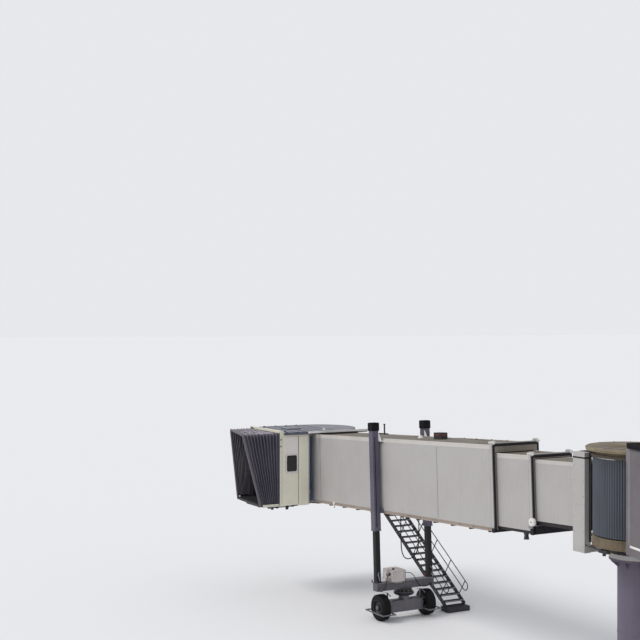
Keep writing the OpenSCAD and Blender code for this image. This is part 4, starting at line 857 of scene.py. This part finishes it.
deck.make("cab_deck_trim", "cab", "cab_underframe",
          "cab_underframe cab_paint seal_rubber bare_steel black_fitting white_fitting", 0.003)

# Canopy: pleated cover with a wavy top and painted highlights on its fold crests, and its padded hoop
PLEATS = 11
CANOPY_X, CANOPY_HALF, CANOPY_TOP, CANOPY_LOW = 2.924, 1.538, 7.530, 4.31


def canopy_section():
    """Side, round shoulder, top and other side, seen from the front."""
    half, top, radius = CANOPY_HALF, CANOPY_TOP, 0.10
    points = [(half, CANOPY_LOW + (top - radius - CANOPY_LOW) * k / 24, 0.0) for k in range(25)]
    points += [(half - radius + radius * cos(radians(a)), top - radius + radius * sin(radians(a)), a / 90)
               for a in (18, 36, 54, 72, 90)]
    points += [((half - radius) * (1 - k / 12), top, 1.0) for k in range(1, 13)]
    return points + [(-y, z, t) for y, z, t in points[-2::-1]]


def canopy_skin(thick):
    rings = []
    steps = PLEATS * 8
    for i in range(steps + 1):
        s = i / steps
        phase = s * PLEATS
        wave = 0.5 - 0.5 * cos(2 * pi * phase)
        ends = min(1, 8 * s, 8 * (1 - s))
        fold = wave ** 0.8 * ends
        ring = []
        for y, z, t in canopy_section():
            uneven = 0.5 * sin(2.1 * phase + 1.7 * y + 0.9) + 0.5 * sin(0.7 * phase - 2.3 * y + z)
            up = (z - CANOPY_LOW) / (CANOPY_TOP - CANOPY_LOW)
            side_in = (0.065 + 0.040 * up) * fold * (1 + 0.16 * uneven) + thick
            top_down = (0.105 + 0.04 * cos(1.9 * y + phase)) * fold * (1 + 0.3 * uneven) + thick
            top_down += 0.03 * ends * t * (1 - (y / CANOPY_HALF) ** 2) * (1 + 0.5 * uneven)
            crest = 0.014 * (1 + sin(2.4 * round(phase) + 3.4 * y + sin(5 * y))) * (1 - wave) * ends
            flank = 1 if y > 0 else -1
            new_y = y - side_in * flank * min(1, abs(y) / 0.9) * (1 - 0.75 * t * (1 - abs(y) / CANOPY_HALF))
            new_z = z - (top_down - crest) * t
            ripple = 0.010 * sin(5.2 * z + 1.3 * phase) * (1 - t) * ends
            x_hoop = hoop_x(y, z) - 0.004
            ring.append((CANOPY_X + s * (x_hoop - CANOPY_X) + 0.012 * sin(3.1 * z + 0.8 * y) * ends * wave,
                         new_y - ripple * flank, new_z))
        rings.append(ring)
    return rings


cover = Shape(IN_CAB)
outer, inner = canopy_skin(0.0), canopy_skin(0.005)
cover.loft([a + b[::-1] for a, b in zip(outer, inner)])
sides = 2 * len(outer[0])
cover.mesh.faces.ensure_lookup_table()
# Faces near the fold crests wear lighter fabric as painted highlights: the paler one on the outer side crests, the
# brighter one on the top and inner crests
for number, face in enumerate(cover.mesh.faces):
    phase = (number // sides + 0.5) / 8 % 1
    place = number % sides
    inside = place >= len(outer[0])
    to_crest = abs(phase - 0.5) if inside else min(phase, 1 - phase)
    if to_crest < 0.13 and number < sides * (len(outer) - 1):
        face.material_index = 2 if inside or 27 <= place <= 54 else 1
for a, b in zip(outer, outer[1:]):
    for k in range(len(a) - 1):
        p, q, r, t = (Vector(v) for v in (a[k], a[k + 1], b[k + 1], b[k]))
canopy = cover.make("canopy_cover", None, "canopy_fabric", "canopy_fabric worn_fold sunlit_fold", angle=60)
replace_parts(canopy, "canopy_bellows")
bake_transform(canopy)

hoop = Shape(IN_CAB)
HOOP_HALF, HOOP_TOP, HOOP_LOW = 1.506, 7.497, 4.195
line = [(HOOP_HALF, HOOP_LOW + (HOOP_TOP - 0.05 - HOOP_LOW) * k / 60, (1, 0)) for k in range(61)]
line += [(HOOP_HALF - 0.05 + 0.05 * cos(radians(a)), HOOP_TOP - 0.05 + 0.05 * sin(radians(a)),
          (cos(radians(a)), sin(radians(a)))) for a in (22.5, 45, 67.5)]
line += [((HOOP_HALF - 0.05) * (1 - k / 30), HOOP_TOP, (0, 1)) for k in range(31)]
line += [(-y, z, (-n[0], n[1])) for y, z, n in line[-2::-1]]
rings = []
travelled = 0.0
last = line[0]
for y, z, n in line:
    travelled += hypot(y - last[0], z - last[1])
    last = (y, z)
    seam = travelled % 0.42
    pinch = 1 - 0.10 * max(0, 1 - min(seam, 0.42 - seam) / 0.03) + 0.015 * sin(9 * travelled)
    ring = []
    for k in range(16):
        angle = 2 * pi * (k + 0.5) / 16
        along, out = (copysign(abs(v) ** 0.55, v) * pinch for v in (cos(angle), sin(angle)))
        ring.append((hoop_x(y, z) + 0.05 + 0.049 * along, y + 0.043 * out * n[0], z + 0.043 * out * n[1]))
    rings.append(ring)
hoop.loft(rings)
for side in (1, -1):
    hoop.tube([(3.75 + side * r * sin(SKEW), side * r * cos(SKEW), HOOP_FOOT) for r in (1.415, 1.46, 1.50)], 0.029, 20)
padded_hoop = hoop.make("padded_hoop", "canopy", "hoop_padding", angle=50)
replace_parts(padded_hoop, "canopy_hoop")

# Roof fittings on tunnel C and its rear frame
gear = Shape(IN_TUNNEL)
gear.box((17.61, -1.60, 2.91), (17.71, 1.60, 3.0))
gear.box((17.625, -1.02, 2.81), (17.68, 1.02, 2.91), 1)
gear.box((17.625, -1.55, 2.86), (17.68, 1.55, 2.91), 1)
gear.disc((10.81, 0.0, 2.89), 0.12, 0.12, "z", 0, 28, 0.07)
gear.disc((10.81, 0.0, 2.83), 0.14, 0.03, "z", 2, 28)
gear.box((9.50, -0.45, 2.82), (10.02, -0.12, 3.09), 1)
gear.box((9.494, -0.38, 2.96), (9.502, -0.19, 3.03), 3)
gear.box((9.64, -0.125, 2.96), (9.88, -0.114, 3.03), 3)
gear.tube([(14.9, -0.98, 2.86), (16.1, -0.98, 2.86)], 0.022, 10, 1)
for x in (14.95, 15.5, 16.05):
    gear.box((x - 0.02, -1.0, 2.81), (x + 0.02, -0.96, 2.87), 1)
gear.tube([(15.2, -0.98, 2.82), (15.2, -0.98, 3.27)], 0.035, 12, 1)
gear.disc((15.2, -0.98, 3.28), 0.045, 0.05, "z", 1, 16)
for side in (1, -1):
    gear.prism([(12.02, 2.74), (12.26, 2.74), (12.26, 3.08)], "y", side * 1.16, side * 1.19)
    gear.side_box(side, (12.05, 12.26), (1.045, 1.17), (2.70, 2.75))
gear.tube([(4.7, -0.96, 2.85), (9.3, -0.96, 2.85), (9.5, -0.7, 2.85), (9.56, -0.4, 2.86)], 0.018, 10)
for x in (5.2, 6.2, 7.2, 8.2, 9.0):
    gear.box((x - 0.015, -1.0, 2.81), (x + 0.015, -0.92, 2.872), 2)
# Bracket at the lower near edge
gear.box((16.36, 1.04, -0.44), (16.44, 1.10, -0.20))
gear.box((16.30, 1.04, -0.24), (16.50, 1.085, -0.18))
gear.make("tunnel_c_fittings", "tunnel_c", "wall_paint", "white_fitting black_fitting bare_steel red_lens", 0.003)
# The near guide wears the strip colour lightened against the roof's shade and the far one the darker curtain colour
# since light falls on it there: painted light and shade
guides = Shape()
for side, colour in ((1, 0), (-1, 1)):
    guides.prism([(19.80, 4.26), (19.997, 4.26), (19.997, 7.28), (19.95, 7.28)], "y",
                 side * 1.04, side * 1.072, colour)
guides.make("curtain_guides", "tunnel_c", "curtain_slats", "cab_strip curtain_slats")

pipes = Shape(IN_TUNNEL)
pipes.tube([(0.3, -0.70, 2.385), (13.3, -0.70, 2.385)], 0.011, 8)
for k in range(12):
    pipes.box((0.5 + k * 1.1, -0.72, 2.366), (0.52 + k * 1.1, -0.68, 2.398), 1)
pipes.make("tunnel_a_conduit", "tunnel_a", "box_paint", "white_fitting bare_steel")
pipes = Shape(IN_TUNNEL)
pipes.tube([(2.9, -0.84, 2.535), (15.3, -0.84, 2.535)], 0.011, 8)
for k in range(11):
    pipes.box((3.1 + k * 1.1, -0.86, 2.516), (3.12 + k * 1.1, -0.82, 2.548), 1)
# Drum, lamp and cable runs at the lower near corner
pipes.disc((2.45, 0.995, 0.21), 0.145, 0.09, "y", 0, 36)
pipes.disc((2.45, 1.045, 0.21), 0.11, 0.02, "y", 0, 36)
pipes.disc((2.45, 1.058, 0.21), 0.03, 0.02, "y", 1, 12)
pipes.box((2.47, 0.94, -0.02), (2.65, 1.02, 0.05), 1)
pipes.box((2.90, 0.80, -0.295), (3.06, 0.90, -0.215), 2)
pipes.disc((2.98, 0.85, -0.375), 0.10, 0.16, "z", 2, 24, 0.07)
for y in (0.62, 0.70, 0.78):
    pipes.tube([(2.54, y, -0.237), (4.9, y, -0.237)], 0.016, 8, 2)
for x in (3.2, 4.2):
    pipes.box((x, 0.59, -0.232), (x + 0.03, 0.81, -0.015), 1)
pipes.make("tunnel_b_fittings", "tunnel_b", "box_paint", "white_fitting bare_steel black_fitting")

# Lift columns
LIFT_X, LIFT_Y, SLEEVE = 12.42, 1.31, 0.15
tower = Shape(IN_TUNNEL)
for side in (1, -1):
    y = side * LIFT_Y
    tower.box((12.242, y - 0.178, 3.158), (12.598, y + 0.178, 3.486), 1)
    tower.box((12.262, y - 0.158, 3.486), (12.578, y + 0.158, 3.505), 1)
    for level, grow, tall in ((-1.055, 0.010, 0.05), (2.95, 0.008, 0.04)):
        out, hole = SLEEVE + grow, SLEEVE - 0.001
        for a0, a1, b0, b1 in ((-out, out, hole, out), (-out, out, -out, -hole), (hole, out, -hole, hole),
                               (-out, -hole, -hole, hole)):
            tower.box((LIFT_X + a0, y + b0, level), (LIFT_X + a1, y + b1, level + tall))
    for k in range(20):
        level = -0.85 + k * 0.2
        for across in (-0.11, 0.11):
            tower.disc((LIFT_X + across, y + side * 0.151, level), 0.011, 0.012, "y", 2, 6)
            tower.disc((12.268, y + across, level), 0.011, 0.012, "x", 2, 6)
    tower.tube([(12.26, y + side * 0.05, z) for z in (-0.9, 1.0, 2.9)], 0.013, 8, 1)
tower.make("lift_column_trim", "tunnel_c", "lift_paint", "lift_paint roof_cap bare_steel", 0.003)

feet = Shape(IN_TUNNEL)
for side in (1, -1):
    y = side * LIFT_Y
    feet.box((12.27, y - 0.15, -3.25), (12.57, y + 0.118, -3.215), 1)
    for across in (-0.125, 0.125):
        for along in (-0.125, 0.085):
            feet.disc((LIFT_X + across, y + along, -3.205), 0.018, 0.03, "z", 2, 6)
    feet.tube([(12.26, side * 1.30, -3.15), (12.20, side * 1.36, -3.0), (12.24, side * 1.38, -2.86),
               (12.31, side * 1.30, -2.80)], 0.022, 10, 4)
    feet.disc((12.80, side * 1.34, -3.22), 0.03, 0.10, "z", 3, 16)
    feet.box((12.58, side * 1.34 - 0.03, -3.285), (12.84, side * 1.34 + 0.03, -3.27), 2)
for k in range(9):
    feet.box((12.234, -1.2 + k * 0.3, -3.57), (12.244, -1.185 + k * 0.3, -3.27))
feet.box((12.225, -1.40, -3.27), (12.615, 1.40, -3.2405), 4)
feet.make("crossbeam_trim", "lift", "lift_paint", "beam_paint ram_steel bare_steel red_lens beam_top", 0.003)
ring = Shape(AT_BOGIE)
ring.collar(0.328, 0.342, 1.14, 1.27)
for k in range(12):
    ring.disc(on_ring(0.342, k * 30, 1.2), 0.014, 0.05, "z", 1, 8)
ring.make("turning_ring", "lift", "ram_steel", "ram_steel bare_steel")

# Electrical box
case = Shape()
for x in (13.39, 13.745):
    case.prism(rounded(x, x + 0.33, 1.67, 2.07, 0.02), "y", 0.798, 0.812)
case.box((13.35, 0.15, 2.092), (14.11, 0.81, 2.118))
for y0, y1 in ((0.19, 0.47), (0.50, 0.77)):
    case.box((13.352, y0, 1.70), (13.364, y1, 2.05))
for x in (13.68, 13.785):
    case.box((x - 0.012, 0.811, 1.83), (x + 0.012, 0.833, 1.93), 1)
for x in (13.40, 14.06):
    for z in (1.72, 1.87, 2.02):
        case.disc((x, 0.815, z), 0.012, 0.05, "z", 2, 12)
for k in range(5):
    case.box((13.44, 0.810, 1.695 + k * 0.02), (13.62, 0.818, 1.703 + k * 0.02), 1)
case.disc((13.60, 0.62, 2.145), 0.05, 0.07, "z", 1, 24, 0.035)
case.disc((13.60, 0.62, 2.185), 0.03, 0.02, "z", 1, 24)
case.box((13.51, 0.81, 1.90), (13.57, 0.86, 2.02), 1)
case.tube([(13.54, 0.85, 2.0), (13.54, 0.885, 2.03), (13.58, 0.885, 2.06)], 0.01, 8, 1)
case.tube([(13.54, 0.85, 1.93), (13.50, 0.89, 1.96), (13.46, 0.885, 2.0)], 0.01, 8, 1)
case.box((13.352, 0.152, 1.62), (13.372, 0.172, 2.10), 1)
for x in (13.42, 14.02):
    case.box((x - 0.03, 0.30, 1.58), (x + 0.03, 0.66, 1.645), 2)
case.make("box_fittings", "lift", "box_paint", "box_paint black_fitting bare_steel", 0.003)

# Bogie
GUARD_OUT, GUARD_IN = 0.585, 0.575
chassis = Shape(AT_BOGIE)
for k in range(20):
    chassis.disc(on_ring(0.385, k * 18, 1.132), 0.017, 0.022, "z", 1, 6)
for side in (1, -1):
    chassis.box((-0.235, side * 0.79 - 0.025, 0.30), (0.235, side * 0.79 + 0.025, 0.80))
    for x in (-0.18, 0.18):
        for z in (0.36, 0.55, 0.74):
            chassis.disc((x, side * 0.822, z), 0.018, 0.02, "y", 1, 6)
    for x in (-0.228, 0.217):
        chassis.side_box(side, (x, x + 0.011), (0.2, 0.7), (0.40, 0.70))
    chassis.tube([(-0.18, side * 0.18, 0.74), (-0.26, side * 0.24, 0.88), (-0.30, side * 0.40, 0.86),
                  (-0.27, side * 0.68, 0.83), (-0.20, side * 0.78, 0.76)], 0.016, 10, 2)
    guard = arc_points(GUARD_OUT, 62, 124, 62 / 12) + arc_points(GUARD_IN, 62, 124, 62 / 12)[::-1]
    chassis.prism([(a, WHEEL_R + b) for a, b in guard], "y", side * 0.84, side * 0.895, 3)
    chassis.side_box(side, (-0.03, 0.03), (0.80, 0.845), (0.78, 1.13))
for x in (-0.221, 0.221):
    chassis.box((x - 0.012, -0.14, 0.36), (x + 0.012, 0.14, 0.75))
chassis.make("bogie_trim", "bogie", "bogie_paint", "bogie_paint bare_steel black_fitting beam_top", 0.003)
skirt = Shape(AT_BOGIE)
skirt.collar(0.415, 0.43, 1.035, 1.118)
skirt.revolve([(0.24, 1.0), (0.38, 1.0), (0.40, 1.038), (0.24, 1.038)], steps=72)
skirt.make("turntable_skirt", "bogie", "bogie_paint", "ram_steel")

# Stair
flight = Shape(IN_STAIR)
STAIR_LEN = (STAIR_PIN.z - 0.26) / sin(STAIR_ANGLE)
for y, out in ((-2.10, 1), (-3.15, -1)):
    for k in range(33):
        x = 0.25 + k * 0.2
        flight.prism([(x, -0.055), (x + 0.03, -0.025), (x + 0.095, -0.025), (x + 0.065, -0.055)],
                     "y", y - out * 0.004, y + out * 0.007, 1)
    for level in (-0.115, 0.043):
        flight.side_box(out, (-0.02, STAIR_LEN - 0.02), (out * y, out * y + 0.014), (level, level + 0.012))
    for k in range(6):
        x = 0.20 + k * (STAIR_LEN - 0.62 - 0.12) / 5
        flight.side_box(out, (x - 0.04, x + 0.04), (out * y - 0.045, out * y + 0.01), (0.05, 0.066))
flight.make("stringer_trim", "stair", "stair_steel", "stair_steel beam_top")

treads = Shape()
for i in range(1, 20):
    x = STAIR_PIN.x - i * STAIR_LEN * cos(STAIR_ANGLE) / 19.6
    z = STAIR_PIN.z - i * STAIR_LEN * sin(STAIR_ANGLE) / 19.6 + 0.035
    treads.box((x - 0.142, -3.105, z - 0.042), (x - 0.112, -2.145, z + 0.006), 1)
    for k in range(9):
        bar = x - 0.10 + k * 0.026
        treads.box((bar, -3.10, z - 0.002), (bar + 0.008, -2.15, z + 0.008))
    for k in range(7):
        rod = -3.05 + k * 0.142
        treads.box((x - 0.105, rod, z - 0.002), (x + 0.125, rod + 0.008, z + 0.006))
for k in range(10):
    treads.box((13.36 + k * 0.058, -3.18, 0.203), (13.368 + k * 0.058, -2.07, 0.212))
for y in (-3.17, -2.08):
    for x in (13.40, 13.87):
        treads.disc((x, y, 0.2), 0.025, 0.03, "z", 1, 6)
treads.make("tread_grating", "stair", "stair_steel", "stair_steel beam_top")

landing = Shape()
PLATE_Z = 4.43
for count, low, high, top in ((34, -2.06, -1.70, 0.011), (27, -2.09, -1.08, 0.0105)):
    for k in range(count):
        landing.box((18.68 + k * 0.05, low, PLATE_Z + 0.001), (18.688 + k * 0.05, high, PLATE_Z + top))
landing.box((18.655, -2.085, PLATE_Z), (18.675, -1.06, PLATE_Z + 0.10), 1)
landing.box((18.655, -2.088, PLATE_Z), (19.55, -2.070, PLATE_Z + 0.10), 1)
for x in (18.75, 19.30):
    for y in (-1.12, -1.3):
        landing.disc((x + 0.04, y, 4.44), 0.012, 0.014, "z", 1, 6)
landing.make("landing_grating", "tunnel_c", "stair_steel", "stair_steel beam_top")

# Service door
door = Shape(IN_TUNNEL)
door.prism(rounded(17.31, 18.05, 1.05, 1.72, 0.06), "y", -1.052, -1.040, 1)
door.prism(rounded(17.29, 18.07, 1.03, 1.74, 0.07), "y", -1.049, -1.040)
door.prism(rounded(17.31, 18.05, 0.02, 0.85, 0.03), "y", -1.051, -1.040)
door.tube([(18.05, -1.04, 0.90), (18.05, -1.09, 0.92), (17.92, -1.09, 0.92)], 0.012, 10, 2)
for level in (0.15, 0.95, 1.70):
    door.disc((17.262, -1.056, level), 0.014, 0.12, "z", 2, 12)
for x0, x1, z0, z1 in ((17.16, 17.225, -0.09, 1.905), (18.135, 18.20, -0.09, 1.905), (17.16, 18.20, 1.905, 1.97)):
    door.box((x0, -1.062, z0), (x1, -1.046, z1))
door.make("door_trim", "tunnel_c", "wall_paint", "wall_paint window_glass bare_steel", 0.003)
